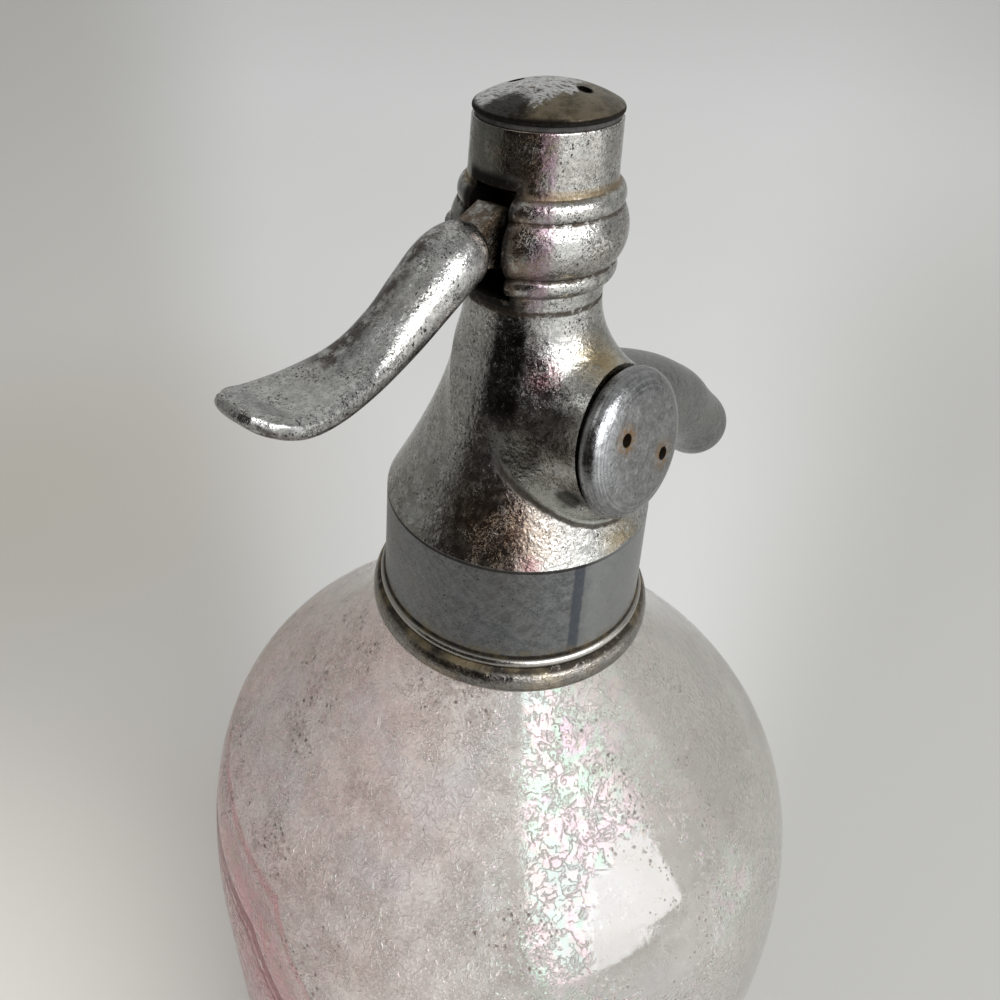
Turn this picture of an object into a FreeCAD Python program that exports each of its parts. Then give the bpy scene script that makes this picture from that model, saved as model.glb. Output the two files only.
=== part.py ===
import FreeCAD, Part
import Sketcher
import math
import os

# ---------------------------------------------------------------------------
# Glass soda siphon with a plated lever head.
#
# Frame: +Z up, origin on the bottle's axis at the plane it stands on.
# The lever points to -X, the spout to +X and the side plug to -Y.
# Heights with a name ending in _z are measured from the standing plane.
# ---------------------------------------------------------------------------

doc = FreeCAD.newDocument("soda_siphon")
V = FreeCAD.Vector

# ---------------------------------------------------------------- dimensions
DIMS = [
    # the bottle
    ("bottle_radius", 52.5), ("bottle_wall", 5.3), ("foot_outer", 44.5), ("foot_inner", 31.0),
    ("punt_height", 4.6), ("floor_z", 12.6), ("heel_z", 12.0), ("inner_heel_z", 24.0),
    ("shoulder_z", 162.0), ("collar_z", 228.0),
    ("neck_radius", 12.4), ("neck_bore", 9.0), ("lip_radius", 14.2), ("lip_top", 14.0),
    # the lower end of the head and what holds it to the neck
    ("skirt_bore", 17.2), ("ceiling", 16.2), ("band_low_radius", 19.1), ("band_top_radius", 18.5),
    ("band_low", 4.15), ("band_top", 19.8), ("seam", 2.7), ("bead_radius", 21.0),
    ("clamp_outer", 15.2), ("clamp_split", 0.6), ("ring_bore", 15.3), ("ring_ledge", 13.2),
    # the neck and the beads of the head
    ("throat_radius", 8.42), ("throat", 50.6), ("bead_low", 52.8), ("bead_mid", 55.1),
    ("bead_high", 61.7), ("bead_end", 64.1), ("barrel_low_radius", 8.72), ("barrel_top_radius", 8.3),
    ("barrel_top", 71.0),
    # the inside of the head
    ("stub_radius", 7.6), ("stub_bore", 6.2), ("stub_low", 6.0), ("stub_top", 15.2),
    ("inlet_radius", 2.6), ("seat_radius", 4.5), ("seat_low", 22.0), ("seat_top", 26.0),
    ("chamber_radius", 5.2), ("chamber_top", 37.0), ("web_radius", 2.5), ("gland_low", 38.5),
    ("gland_radius", 4.9), ("gland_top", 47.5), ("spring_bore", 5.6), ("cap_thread_low", 65.2),
    ("cap_thread", 6.8),
    # the side boss and its plug
    ("boss_axis", 31.2), ("boss_tilt", 12.4), ("boss_radius", 9.3), ("boss_end", 15.5),
    ("plug_bore", 5.0), ("plug_radius", 9.6), ("plug_front", 19.1), ("plug_back", 15.9),
    ("plug_holes", 4.5), ("plug_hole_radius", 0.85), ("plug_turn", -35.0),
    # the spout
    ("spout_axis", 34.6), ("spout_slope", 22.8), ("spout_turn", 21.2), ("spout_bend", 80.0),
    ("spout_run", 28.2), ("spout_tail", 7.2), ("spout_root", 6.9), ("spout_end", 5.85),
    ("spout_bore", 2.75), ("socket_radius", 5.4), ("socket_low", 8.6), ("socket_end", 17.2),
    ("socket_outer", 7.6),
    # the lever, its pin and its slot
    ("slot_half", 2.75), ("slot_low", 51.9), ("slot_high", 64.8), ("pin_x", 7.0), ("pin_up", 58.8),
    ("pin_radius", 1.1), ("pin_far", 7.5), ("pin_near", 5.6), ("tang_half", 2.0),
    ("nose_x", 1.2), ("nose_radius", 1.45),
    # the spindle, valve and spring
    ("spindle_radius", 2.0), ("spindle_low", 29.6), ("lift_radius", 4.6), ("lift_low", 54.3),
    ("lift_top", 62.2), ("window_low", 56.0), ("window_high", 60.5), ("window_half", 2.9),
    ("stem_radius", 1.7), ("stem_top", 69.4), ("fit_gap", 0.06),
    ("valve_radius", 4.0), ("valve_low", 27.6), ("valve_top", 31.6), ("rubber_radius", 3.3),
    ("seat_lip", 0.6), ("seal_gap", 0.04),
    ("spring_mean", 3.7), ("spring_wire", 0.5), ("spring_turns", 5.0), ("spring_low", 63.1),
    ("spring_high", 72.2),
    # the cap
    ("cap_radius", 8.36), ("cap_seam", 71.5), ("cap_edge", 72.0), ("cap_top", 74.35),
    ("cap_holes", 4.0), ("cap_hole_radius", 0.75), ("cap_turn", -78.0),
    # the dip tube
    ("tube_radius", 4.7), ("tube_bore", 3.2), ("tube_low_z", 17.0), ("tube_top", 14.6),
    # the flat tang of the lever, measured from the pin outwards
    ("tang_low", 55.9), ("tang_top", 63.1),
]
# centre line of the lever's handle (distance from the axis, height over the
# collar), half width across and half thickness, from the bulb to the thumb end
LEVER = [
    (11.85, 59.4, 2.2, 2.1), (12.4, 59.3, 3.1, 3.0), (13.9, 58.85, 3.85, 3.7), (16.4, 57.9, 4.15, 3.85),
    (19.6, 55.9, 4.1, 3.55), (24.0, 53.1, 3.9, 3.15), (29.4, 50.9, 4.15, 2.75), (35.0, 50.05, 4.85, 2.3),
    (39.4, 50.35, 5.3, 1.85), (42.5, 51.5, 4.7, 1.45), (44.2, 52.6, 3.0, 0.95),
]
for i, values in enumerate(LEVER):
    for word, value in zip(("run", "rise", "wide", "deep"), values):
        DIMS.append(("lever_%s_%s" % (word, "abcdefghijk"[i]), value))
sheet = doc.addObject("Spreadsheet::Sheet", "Dims")
for row, (name, value) in enumerate(DIMS, start=1):
    sheet.set("A%d" % row, name)
    sheet.set("B%d" % row, repr(value))
    sheet.setAlias("B%d" % row, name)
doc.recompute()
NUM = dict(DIMS)


class Q:
    """A length that carries its present value and the formula it is bound to."""

    def __init__(self, v, s):
        self.v, self.s = float(v), s

    @staticmethod
    def of(o):
        return o if isinstance(o, Q) else Q(o, repr(float(o)))

    def __add__(self, o):
        o = Q.of(o)
        return Q(self.v + o.v, "(%s + %s)" % (self.s, o.s))

    __radd__ = __add__

    def __sub__(self, o):
        o = Q.of(o)
        return Q(self.v - o.v, "(%s - %s)" % (self.s, o.s))

    def __rsub__(self, o):
        return Q.of(o).__sub__(self)

    def __mul__(self, o):
        o = Q.of(o)
        return Q(self.v * o.v, "(%s * %s)" % (self.s, o.s))

    __rmul__ = __mul__

    def __neg__(self):
        return Q(-self.v, "(0 - %s)" % self.s)


def d(name):
    return Q(NUM[name], "Dims.%s" % name)


def up(name, extra=0.0):
    """Height of a feature of the head, measured from the collar."""
    if isinstance(name, str):
        q = d("collar_z") + d(name)
    else:
        q = d("collar_z") + name
    return q + extra if extra else q


# ------------------------------------------------------------------- helpers
def body(name):
    b = doc.addObject("PartDesign::Body", name)
    b.Label = name
    return b


def plane_of(b, role):
    for f in b.Origin.OriginFeatures:
        if f.Role == role:
            return f
    raise RuntimeError("no plane " + role)


def sketch(b, name, role="XZ_Plane", offset=None):
    s = b.newObject("Sketcher::SketchObject", name)
    s.AttachmentSupport = [(plane_of(b, role), "")]
    s.MapMode = "FlatFace"
    if offset is not None:
        s.AttachmentOffset = offset
    return s


def pin_point(s, geo, pos, x, y):
    """Hold one vertex at (x, y), each bound to its formula."""
    for q, kind, axis in ((Q.of(x), "DistanceX", -2), (Q.of(y), "DistanceY", -1)):
        if abs(q.v) < 1e-9:
            s.addConstraint(Sketcher.Constraint("PointOnObject", geo, pos, axis))
        else:
            c = s.addConstraint(Sketcher.Constraint(kind, -1, 1, geo, pos, q.v))
            s.setExpression("Constraints[%d]" % c, q.s)


def outline(s, items):
    """Closed outline. Each item is ('L', end) or ('B', handle1, handle2, end)
    from the last item's end; every vertex is held by two bound distances."""
    start = items[-1][-1]
    ends = []
    prev = start
    for it in items:
        end = it[-1]
        p0 = V(Q.of(prev[0]).v, Q.of(prev[1]).v, 0)
        p1 = V(Q.of(end[0]).v, Q.of(end[1]).v, 0)
        if it[0] == "L":
            ends.append(s.addGeometry(Part.LineSegment(p0, p1), False))
        else:
            poles = [p0] + [V(Q.of(h[0]).v, Q.of(h[1]).v, 0) for h in it[1:3]] + [p1]
            curve = Part.BSplineCurve()
            curve.buildFromPolesMultsKnots(poles, [4, 4], [0.0, 1.0], False, 3)
            g = s.addGeometry(curve, False)
            ends.append(g)
            for i, pole in enumerate(poles):
                c = s.addGeometry(Part.Circle(pole, V(0, 0, 1), 0.5), True)
                s.addConstraint(Sketcher.Constraint("Weight", c, 1.0))
                s.addConstraint(Sketcher.Constraint("InternalAlignment:Sketcher::BSplineControlPoint", c, 3, g, i))
                if i in (1, 2):
                    pin_point(s, c, 3, it[i][0], it[i][1])
        prev = end
    for i, g in enumerate(ends):
        s.addConstraint(Sketcher.Constraint("Coincident", g, 2, ends[(i + 1) % len(ends)], 1))
        pin_point(s, g, 2, items[i][-1][0], items[i][-1][1])
    return ends


def revolve(b, name, items, role="XZ_Plane", offset=None, axis="V_Axis", cut=False):
    s = sketch(b, name + "_outline", role, offset)
    outline(s, items)
    f = b.newObject("PartDesign::Groove" if cut else "PartDesign::Revolution", name)
    f.Profile = s
    f.ReferenceAxis = (s, [axis])
    f.Angle = 360
    return f


def rect(s, x0, y0, x1, y1):
    outline(s, [("L", (x0, y0)), ("L", (x1, y0)), ("L", (x1, y1)), ("L", (x0, y1))])


def circle(s, x, y, r):
    x, y, r = Q.of(x), Q.of(y), Q.of(r)
    g = s.addGeometry(Part.Circle(V(x.v, y.v, 0), V(0, 0, 1), r.v), False)
    c = s.addConstraint(Sketcher.Constraint("Radius", g, r.v))
    s.setExpression("Constraints[%d]" % c, r.s)
    pin_point(s, g, 3, x, y)
    return g


def ring(name, r_in, r_out, z_low, z_top):
    """Plain turned ring or disc on the bottle's axis."""
    b = body(name)
    revolve(b, name + "_turn", [("L", (r_in, z_low)), ("L", (r_out, z_low)), ("L", (r_out, z_top)), ("L", (r_in, z_top))])
    return b


def tilt_offset(along, angle):
    return FreeCAD.Placement(V(0, along, 0), FreeCAD.Rotation(V(0, 0, 1), angle))


# ------------------------------------------------------------ 1 glass bottle
CZ = d("collar_z")
SH = d("shoulder_z")
bottle = body("glass_bottle")
revolve(bottle, "bottle_turn", [
    # the punt and the foot that it stands on
    ("B", (14.0, d("punt_height")), (26.0, d("punt_height") - 1.8), (d("foot_inner"), 0)),
    ("L", (d("foot_outer"), 0)),
    ("B", (d("foot_outer") + 4.6, 0), (d("bottle_radius"), d("heel_z") - 6.6), (d("bottle_radius"), d("heel_z"))),
    # the wall and the shoulder
    ("L", (d("bottle_radius"), SH)),
    ("B", (d("bottle_radius"), SH + 12.0), (d("bottle_radius") - 1.2, CZ - 41.5), (d("bottle_radius") - 5.2, CZ - 34.8)),
    ("B", (d("bottle_radius") - 6.9, CZ - 32.0), (d("bottle_radius") - 8.6, CZ - 30.6), (d("bottle_radius") - 10.5, CZ - 28.7)),
    ("B", (32.5, CZ - 20.4), (24.0, CZ - 10.9), (17.6, CZ - 1.8)),
    ("B", (15.9, CZ + 0.5), (d("neck_radius"), CZ + 1.6), (d("neck_radius"), CZ + 3.4)),
    # the neck groove and the lip bead
    ("L", (d("neck_radius"), CZ + 8.5)),
    ("B", (d("neck_radius") + 0.9, CZ + 8.6), (d("lip_radius"), CZ + 9.0), (d("lip_radius"), CZ + 10.2)),
    ("L", (d("lip_radius"), CZ + 12.6)),
    ("B", (d("lip_radius"), CZ + 13.6), (d("lip_radius") - 0.6, up("lip_top")), (d("lip_radius") - 1.4, up("lip_top"))),
    ("L", (d("neck_bore") + 1.0, up("lip_top"))),
    ("B", (d("neck_bore") + 0.4, up("lip_top")), (d("neck_bore"), up("lip_top", -0.4)), (d("neck_bore"), up("lip_top", -1.0))),
    # the inside of the neck, shoulder, wall and floor
    ("L", (d("neck_bore"), CZ + 1.0)),
    ("B", (d("neck_bore"), CZ - 1.6), (10.6, CZ - 3.3), (13.4, CZ - 6.6)),
    ("B", (20.5, CZ - 15.0), (29.4, CZ - 24.6), (38.4, CZ - 32.8)),
    ("B", (d("bottle_radius") - 11.3, CZ - 35.4), (d("bottle_radius") - d("bottle_wall"), CZ - 44.0), (d("bottle_radius") - d("bottle_wall"), CZ - 58.0)),
    ("L", (d("bottle_radius") - d("bottle_wall"), d("inner_heel_z"))),
    ("B", (d("bottle_radius") - d("bottle_wall"), d("inner_heel_z") - 7.0), (40.0, d("floor_z") + 0.4), (30.0, d("floor_z"))),
    ("B", (20.0, d("floor_z") - 0.3), (10.0, d("floor_z") + 0.6), (0, d("floor_z") + 0.9)),
    ("L", (0, d("punt_height"))),
])

# --------------------------------------------------- 2 threaded collar ring
collar = body("collar_ring")
revolve(collar, "collar_turn", [
    ("B", (19.5, up(-1.95)), (d("bead_radius"), up(-1.1)), (d("bead_radius"), up(0.1))),
    ("B", (d("bead_radius"), up(1.3)), (20.5, up(2.2)), (19.6, up("seam", -0.05))),
    ("L", (d("skirt_bore"), up("seam", -0.05))),
    ("L", (d("skirt_bore"), up(13.0))),
    ("L", (d("ring_bore"), up(13.0))),
    ("L", (d("ring_bore"), up(4.2))),
    ("L", (d("ring_ledge"), up(4.2))),
    ("L", (d("ring_ledge"), up(3.0))),
    ("L", (18.3, up(-1.7))),
])

# ------------------------------------------- 3, 4 the two neck clamp halves
for side, sign in (("front", -1.0), ("rear", 1.0)):
    half = body("neck_clamp_half_" + side)
    s = sketch(half, "clamp_%s_plan" % side, "XY_Plane", FreeCAD.Placement(V(0, 0, (NUM["collar_z"] + 4.25)), FreeCAD.Rotation()))
    s.setExpression("AttachmentOffset.Base.z", "Dims.collar_z + 4.25")
    r0, r1, g = NUM["neck_radius"] + 0.15, NUM["clamp_outer"], NUM["clamp_split"] / 2.0
    a0, a1 = math.asin(g / r0), math.asin(g / r1)
    if sign > 0:
        arcs = [(r0, a0, math.pi - a0), (r1, a1, math.pi - a1)]
    else:
        arcs = [(r0, math.pi + a0, 2 * math.pi - a0), (r1, math.pi + a1, 2 * math.pi - a1)]
    gi = s.addGeometry(Part.ArcOfCircle(Part.Circle(V(0, 0, 0), V(0, 0, 1), arcs[0][0]), arcs[0][1], arcs[0][2]), False)
    go = s.addGeometry(Part.ArcOfCircle(Part.Circle(V(0, 0, 0), V(0, 0, 1), arcs[1][0]), arcs[1][1], arcs[1][2]), False)
    pts = []
    for gg in (gi, go):
        e = s.Geometry[gg]
        pts.append((e.StartPoint, e.EndPoint))
    l1 = s.addGeometry(Part.LineSegment(pts[0][0], pts[1][0]), False)
    l2 = s.addGeometry(Part.LineSegment(pts[0][1], pts[1][1]), False)
    s.addConstraint(Sketcher.Constraint("Coincident", l1, 1, gi, 1))
    s.addConstraint(Sketcher.Constraint("Coincident", l1, 2, go, 1))
    s.addConstraint(Sketcher.Constraint("Coincident", l2, 1, gi, 2))
    s.addConstraint(Sketcher.Constraint("Coincident", l2, 2, go, 2))
    s.addConstraint(Sketcher.Constraint("Coincident", gi, 3, -1, 1))
    s.addConstraint(Sketcher.Constraint("Coincident", go, 3, -1, 1))
    s.addConstraint(Sketcher.Constraint("Horizontal", l1))
    s.addConstraint(Sketcher.Constraint("Horizontal", l2))
    c = s.addConstraint(Sketcher.Constraint("Radius", gi, r0))
    s.setExpression("Constraints[%d]" % c, "Dims.neck_radius + 0.15")
    c = s.addConstraint(Sketcher.Constraint("Radius", go, r1))
    s.setExpression("Constraints[%d]" % c, "Dims.clamp_outer")
    c = s.addConstraint(Sketcher.Constraint("DistanceY", -1, 1, l1, 1, sign * g))
    s.setExpression("Constraints[%d]" % c, "%s * Dims.clamp_split / 2" % ("1" if sign > 0 else "-1"))
    c = s.addConstraint(Sketcher.Constraint("DistanceY", -1, 1, l2, 1, sign * g))
    s.setExpression("Constraints[%d]" % c, "%s * Dims.clamp_split / 2" % ("1" if sign > 0 else "-1"))
    pad = half.newObject("PartDesign::Pad", "clamp_%s_pad" % side)
    pad.Profile = s
    pad.Length = 4.1

# -------------------------------------------------------------- 5 neck gasket
ring("neck_gasket", Q.of(9.0), Q.of(16.9), up("lip_top"), up("ceiling"))

# ---------------------------------------------------------------- 6 head body
head = body("head_body")
revolve(head, "head_turn", [
    # the stub that carries the dip tube, the gasket face and the threaded skirt
    ("L", (d("stub_radius"), up("stub_low"))),
    ("L", (d("stub_radius"), up("ceiling"))),
    ("L", (d("skirt_bore"), up("ceiling"))),
    ("L", (d("skirt_bore"), up("seam"))),
    # the rolled bead at the skirt's lower edge
    ("L", (19.35, up("seam"))),
    ("B", (19.95, up("seam", 0.05)), (20.05, up("band_low", -0.15)), (d("band_low_radius"), up("band_low"))),
    # the plain band, the dome and the throat
    ("L", (d("band_top_radius"), up("band_top"))),
    ("B", (15.3, up(25.9)), (d("throat_radius") + 0.1, up(37.8)), (d("throat_radius"), up("throat"))),
    ("L", (d("throat_radius") + 0.05, up("bead_low"))),
    # the three beads
    ("B", (9.75, up("bead_low", 0.1)), (9.85, up("bead_mid", -0.5)), (9.25, up("bead_mid"))),
    ("B", (10.75, up("bead_mid", 1.6)), (10.75, up("bead_high", -2.0)), (9.45, up("bead_high"))),
    ("B", (9.75, up("bead_high", 0.8)), (9.55, up("bead_end", -0.5)), (d("barrel_low_radius"), up("bead_end"))),
    # the barrel
    ("L", (d("barrel_top_radius"), up("barrel_top"))),
    ("L", (0, up("barrel_top"))),
    ("L", (0, up("stub_low"))),
])
# the side boss, tilted a little upwards
boss_place = tilt_offset(NUM["collar_z"] + NUM["boss_axis"], 180.0 - NUM["boss_tilt"])


def bind_tilt(s, along, angle):
    s.setExpression("AttachmentOffset.Base.y", along)
    s.setExpression("AttachmentOffset.Rotation.Angle", angle)


f = revolve(head, "boss_turn", [
    ("L", (0, d("boss_radius") + 0.5)),
    ("L", (9.5, d("boss_radius") + 0.5)),
    ("L", (d("boss_end"), d("boss_radius"))),
    ("L", (d("boss_end"), 0)),
    ("L", (0, 0)),
], "YZ_Plane", boss_place, "H_Axis")
bind_tilt(f.Profile[0], "Dims.collar_z + Dims.boss_axis", "180 - Dims.boss_tilt")
# the socket that the spout is let into
spout_place = tilt_offset(NUM["collar_z"] + NUM["spout_axis"], -NUM["spout_slope"])
f = revolve(head, "socket_turn", [
    ("L", (0, d("socket_outer"))),
    ("L", (d("socket_end") - 0.6, d("socket_outer"))),
    ("L", (d("socket_end"), d("socket_outer") - 0.6)),
    ("L", (d("socket_end"), 0)),
    ("L", (0, 0)),
], "XZ_Plane", spout_place, "H_Axis")
bind_tilt(f.Profile[0], "Dims.collar_z + Dims.spout_axis", "0 - Dims.spout_slope")
doc.recompute()
# the bores from the dip tube up to the cap
f = revolve(head, "bore_turn", [
    ("L", (d("stub_bore"), up("stub_low", -1.0))),
    ("L", (d("stub_bore"), up("stub_top"))),
    ("L", (d("inlet_radius"), up("stub_top"))),
    ("L", (d("inlet_radius"), up("seat_low"))),
    ("L", (d("seat_radius"), up("seat_low"))),
    ("L", (d("seat_radius"), up("seat_top"))),
    ("L", (d("chamber_radius"), up("seat_top"))),
    ("L", (d("chamber_radius"), up("chamber_top"))),
    ("L", (d("web_radius"), up("chamber_top"))),
    ("L", (d("web_radius"), up("gland_low"))),
    ("L", (d("gland_radius"), up("gland_low"))),
    ("L", (d("gland_radius"), up("gland_top"))),
    ("L", (d("spring_bore"), up("gland_top"))),
    ("L", (d("spring_bore"), up("cap_thread_low"))),
    ("L", (d("cap_thread"), up("cap_thread_low"))),
    ("L", (d("cap_thread"), up("barrel_top", 1.0))),
    ("L", (0, up("barrel_top", 1.0))),
    ("L", (0, up("stub_low", -1.0))),
], cut=True)
f = revolve(head, "plug_bore_turn", [
    ("L", (4.4, d("plug_bore"))),
    ("L", (d("boss_end") - 0.4, d("plug_bore"))),
    ("L", (d("boss_end") - 0.4, d("boss_radius") - 0.9)),
    ("L", (d("boss_end") + 1.0, d("boss_radius") - 0.9)),
    ("L", (d("boss_end") + 1.0, 0)),
    ("L", (4.4, 0)),
], "YZ_Plane", boss_place, "H_Axis", cut=True)
bind_tilt(f.Profile[0], "Dims.collar_z + Dims.boss_axis", "180 - Dims.boss_tilt")
f = revolve(head, "socket_bore_turn", [
    ("L", (3.6, d("spout_bore"))),
    ("L", (d("socket_low"), d("spout_bore"))),
    ("L", (d("socket_low"), d("socket_radius"))),
    ("L", (d("socket_end"), d("socket_radius"))),
    # the spot face that lets the spout's root through the edge of the dome
    ("L", (d("socket_end"), d("spout_root") + 0.06)),
    ("L", (d("socket_end") + 10.8, d("spout_root") + 0.06)),
    ("L", (d("socket_end") + 10.8, 0)),
    ("L", (3.6, 0)),
], "XZ_Plane", spout_place, "H_Axis", cut=True)
bind_tilt(f.Profile[0], "Dims.collar_z + Dims.spout_axis", "0 - Dims.spout_slope")
# the slot that the lever works in, right through the beads into the bore
s = sketch(head, "slot_side", "YZ_Plane")
rect(s, -d("slot_half"), up("slot_low"), d("slot_half"), up("slot_high"))
slot = head.newObject("PartDesign::Pocket", "slot")
slot.Profile = s
slot.Type = 0
slot.Length = 14.0
slot.Reversed = False
# the blind hole of the lever's pin, drilled from the rear
s = sketch(head, "pin_hole_side", "XZ_Plane", FreeCAD.Placement(V(0, 0, NUM["pin_near"]), FreeCAD.Rotation()))
s.setExpression("AttachmentOffset.Base.z", "Dims.pin_near")
circle(s, -d("pin_x"), up("pin_up"), d("pin_radius"))
pin_hole = head.newObject("PartDesign::Pocket", "pin_hole")
pin_hole.Profile = s
pin_hole.Type = 0
pin_hole.Length = 20.0
doc.recompute()

# ------------------------------------------------------------------- 7 spout
spout = body("spout")


def spout_point(run):
    """Centre and slope (degrees below level) of the spout at a run along its axis."""
    a0, a1, bend = NUM["spout_slope"], NUM["spout_slope"] + NUM["spout_turn"], NUM["spout_bend"]
    t0, t1 = math.radians(a0), math.radians(a1)
    x0, z0 = NUM["spout_run"] * math.cos(t0), NUM["collar_z"] + NUM["spout_axis"] - NUM["spout_run"] * math.sin(t0)
    arc = bend * (t1 - t0)
    if run <= NUM["spout_run"]:
        return run * math.cos(t0), NUM["collar_z"] + NUM["spout_axis"] - run * math.sin(t0), a0
    if run <= NUM["spout_run"] + arc:
        t = t0 + (run - NUM["spout_run"]) / bend
        return x0 + bend * (math.sin(t) - math.sin(t0)), z0 - bend * (math.cos(t0) - math.cos(t)), math.degrees(t)
    x1, z1 = x0 + bend * (math.sin(t1) - math.sin(t0)), z0 - bend * (math.cos(t0) - math.cos(t1))
    rest = run - NUM["spout_run"] - arc
    return x1 + rest * math.cos(t1), z1 - rest * math.sin(t1), a1


def across(b, name, x, z, slope):
    """Sketch square to the spout or lever: its X runs along the part's Y, its Y up."""
    off = FreeCAD.Placement(V(0, z, x), FreeCAD.Rotation(V(1, 0, 0), slope))
    return sketch(b, name, "YZ_Plane", off)


spout_arc = NUM["spout_bend"] * math.radians(NUM["spout_turn"])
spout_length = NUM["spout_run"] + spout_arc + NUM["spout_tail"]
stations = [NUM["socket_end"], 22.0, NUM["spout_run"]] + [NUM["spout_run"] + spout_arc * k / 4.0 for k in (1, 2, 3, 4)] + [spout_length - 1.2, spout_length]
sections = []
for i, run in enumerate(stations):
    x, z, slope = spout_point(run)
    s = across(spout, "spout_section_%d" % i, x, z, slope)
    share = (run - NUM["socket_end"]) / (spout_length - NUM["socket_end"])
    r = d("spout_root") + (d("spout_end") - d("spout_root")) * share
    if i == len(stations) - 1:
        r = r - 0.7
    circle(s, 0, 0, r)
    sections.append(s)
loft = spout.newObject("PartDesign::AdditiveLoft", "spout_outside")
loft.Profile = sections[0]
loft.Sections = sections[1:]
loft.Ruled = False
doc.recompute()
f = revolve(spout, "spout_spigot", [
    ("L", (d("socket_low"), d("socket_radius"))),
    ("L", (d("socket_end") + 0.4, d("socket_radius"))),
    ("L", (d("socket_end") + 0.4, 0)),
    ("L", (d("socket_low"), 0)),
], "XZ_Plane", spout_place, "H_Axis")
bind_tilt(f.Profile[0], "Dims.collar_z + Dims.spout_axis", "0 - Dims.spout_slope")
path = sketch(spout, "spout_path", "XZ_Plane")
t0, t1 = math.radians(NUM["spout_slope"]), math.radians(NUM["spout_slope"] + NUM["spout_turn"])
pa, pb = spout_point(NUM["socket_low"] - 1.0), spout_point(NUM["spout_run"])
pc, pd = spout_point(NUM["spout_run"] + spout_arc), spout_point(spout_length + 1.0)
pm = spout_point(NUM["spout_run"] + spout_arc / 2.0)
path.addGeometry(Part.LineSegment(V(pa[0], pa[1], 0), V(pb[0], pb[1], 0)), False)
path.addGeometry(Part.Arc(V(pb[0], pb[1], 0), V(pm[0], pm[1], 0), V(pc[0], pc[1], 0)), False)
path.addGeometry(Part.LineSegment(V(pc[0], pc[1], 0), V(pd[0], pd[1], 0)), False)
path.addConstraint(Sketcher.Constraint("Coincident", 0, 2, 1, 2))
path.addConstraint(Sketcher.Constraint("Coincident", 1, 1, 2, 1))
mouth = across(spout, "spout_bore_section", pa[0], pa[1], NUM["spout_slope"])
circle(mouth, 0, 0, d("spout_bore"))
pipe = spout.newObject("PartDesign::SubtractivePipe", "spout_bore_pipe")
pipe.Profile = mouth
pipe.Spine = path
doc.recompute()

# ----------------------------------------------------- 8, 9 side plug, washer
plug = body("side_plug")
f = revolve(plug, "plug_turn", [
    ("L", (6.2, d("plug_bore") - 0.7)),
    ("L", (6.9, d("plug_bore"))),
    ("L", (d("plug_back"), d("plug_bore"))),
    ("L", (d("plug_back"), d("plug_radius") - 0.5)),
    ("B", (d("plug_back") + 0.25, d("plug_radius") - 0.1), (d("plug_back") + 0.5, d("plug_radius")), (d("plug_back") + 0.9, d("plug_radius"))),
    ("B", (d("plug_back") + 2.0, d("plug_radius")), (d("plug_front") - 0.35, d("plug_radius") - 0.9), (d("plug_front") - 0.1, d("plug_radius") - 2.7)),
    ("B", (d("plug_front") - 0.02, d("plug_radius") - 3.5), (d("plug_front") + 0.1, 2.0), (d("plug_front") + 0.1, 0)),
    ("L", (10.2, 0)),
    ("L", (10.2, 3.2)),
    ("L", (6.2, 3.2)),
], "YZ_Plane", boss_place, "H_Axis")
bind_tilt(f.Profile[0], "Dims.collar_z + Dims.boss_axis", "180 - Dims.boss_tilt")
# two blind holes for a pin spanner
tilt = math.radians(NUM["boss_tilt"])
s = sketch(plug, "plug_holes_face", "XZ_Plane")
front = NUM["plug_front"] - 1.6
s.AttachmentOffset = FreeCAD.Placement(V(0, NUM["collar_z"] + NUM["boss_axis"] + front * math.sin(tilt), front * math.cos(tilt)),
                                       FreeCAD.Rotation(V(1, 0, 0), -NUM["boss_tilt"]))
turn = math.radians(NUM["plug_turn"])
for sgn in (-1.0, 1.0):
    circle(s, d("plug_holes") * (sgn * math.cos(turn)), d("plug_holes") * (sgn * math.sin(turn)), d("plug_hole_radius"))
holes = plug.newObject("PartDesign::Pocket", "plug_spanner_holes")
holes.Profile = s
holes.Type = 0
holes.Length = 4.0
holes.Reversed = True
doc.recompute()

washer = body("side_plug_washer")
f = revolve(washer, "side_washer_turn", [
    ("L", (d("boss_end") - 0.4, 5.15)),
    ("L", (d("boss_end") - 0.4, d("boss_radius") - 1.1)),
    ("L", (d("plug_back"), d("boss_radius") - 1.1)),
    ("L", (d("plug_back"), 5.15)),
], "YZ_Plane", boss_place, "H_Axis")
bind_tilt(f.Profile[0], "Dims.collar_z + Dims.boss_axis", "180 - Dims.boss_tilt")

# --------------------------------------------------------- 10, 11 cap, washer
cap = body("top_cap")
revolve(cap, "cap_turn", [
    ("L", (d("cap_thread"), up("cap_thread_low", 0.4))),
    ("L", (d("cap_thread"), up("cap_seam"))),
    ("L", (d("cap_radius") - 0.25, up("cap_seam"))),
    ("B", (d("cap_radius") + 0.02, up("cap_seam", 0.02)), (d("cap_radius") + 0.04, up("cap_edge", -0.1)), (d("cap_radius") - 0.2, up("cap_edge", 0.15))),
    ("B", (d("cap_radius") - 1.6, up("cap_top", -1.35)), (3.6, up("cap_top")), (0, up("cap_top"))),
    ("L", (0, up("spring_high", 0.3))),
    ("L", (5.1, up("spring_high", 0.3))),
    ("L", (5.1, up("cap_thread_low", 0.4))),
])
s = sketch(cap, "cap_holes_plan", "XY_Plane", FreeCAD.Placement(V(0, 0, NUM["collar_z"] + NUM["cap_top"] - 1.5), FreeCAD.Rotation()))
s.setExpression("AttachmentOffset.Base.z", "Dims.collar_z + Dims.cap_top - 1.5")
cturn = math.radians(NUM["cap_turn"])
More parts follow.
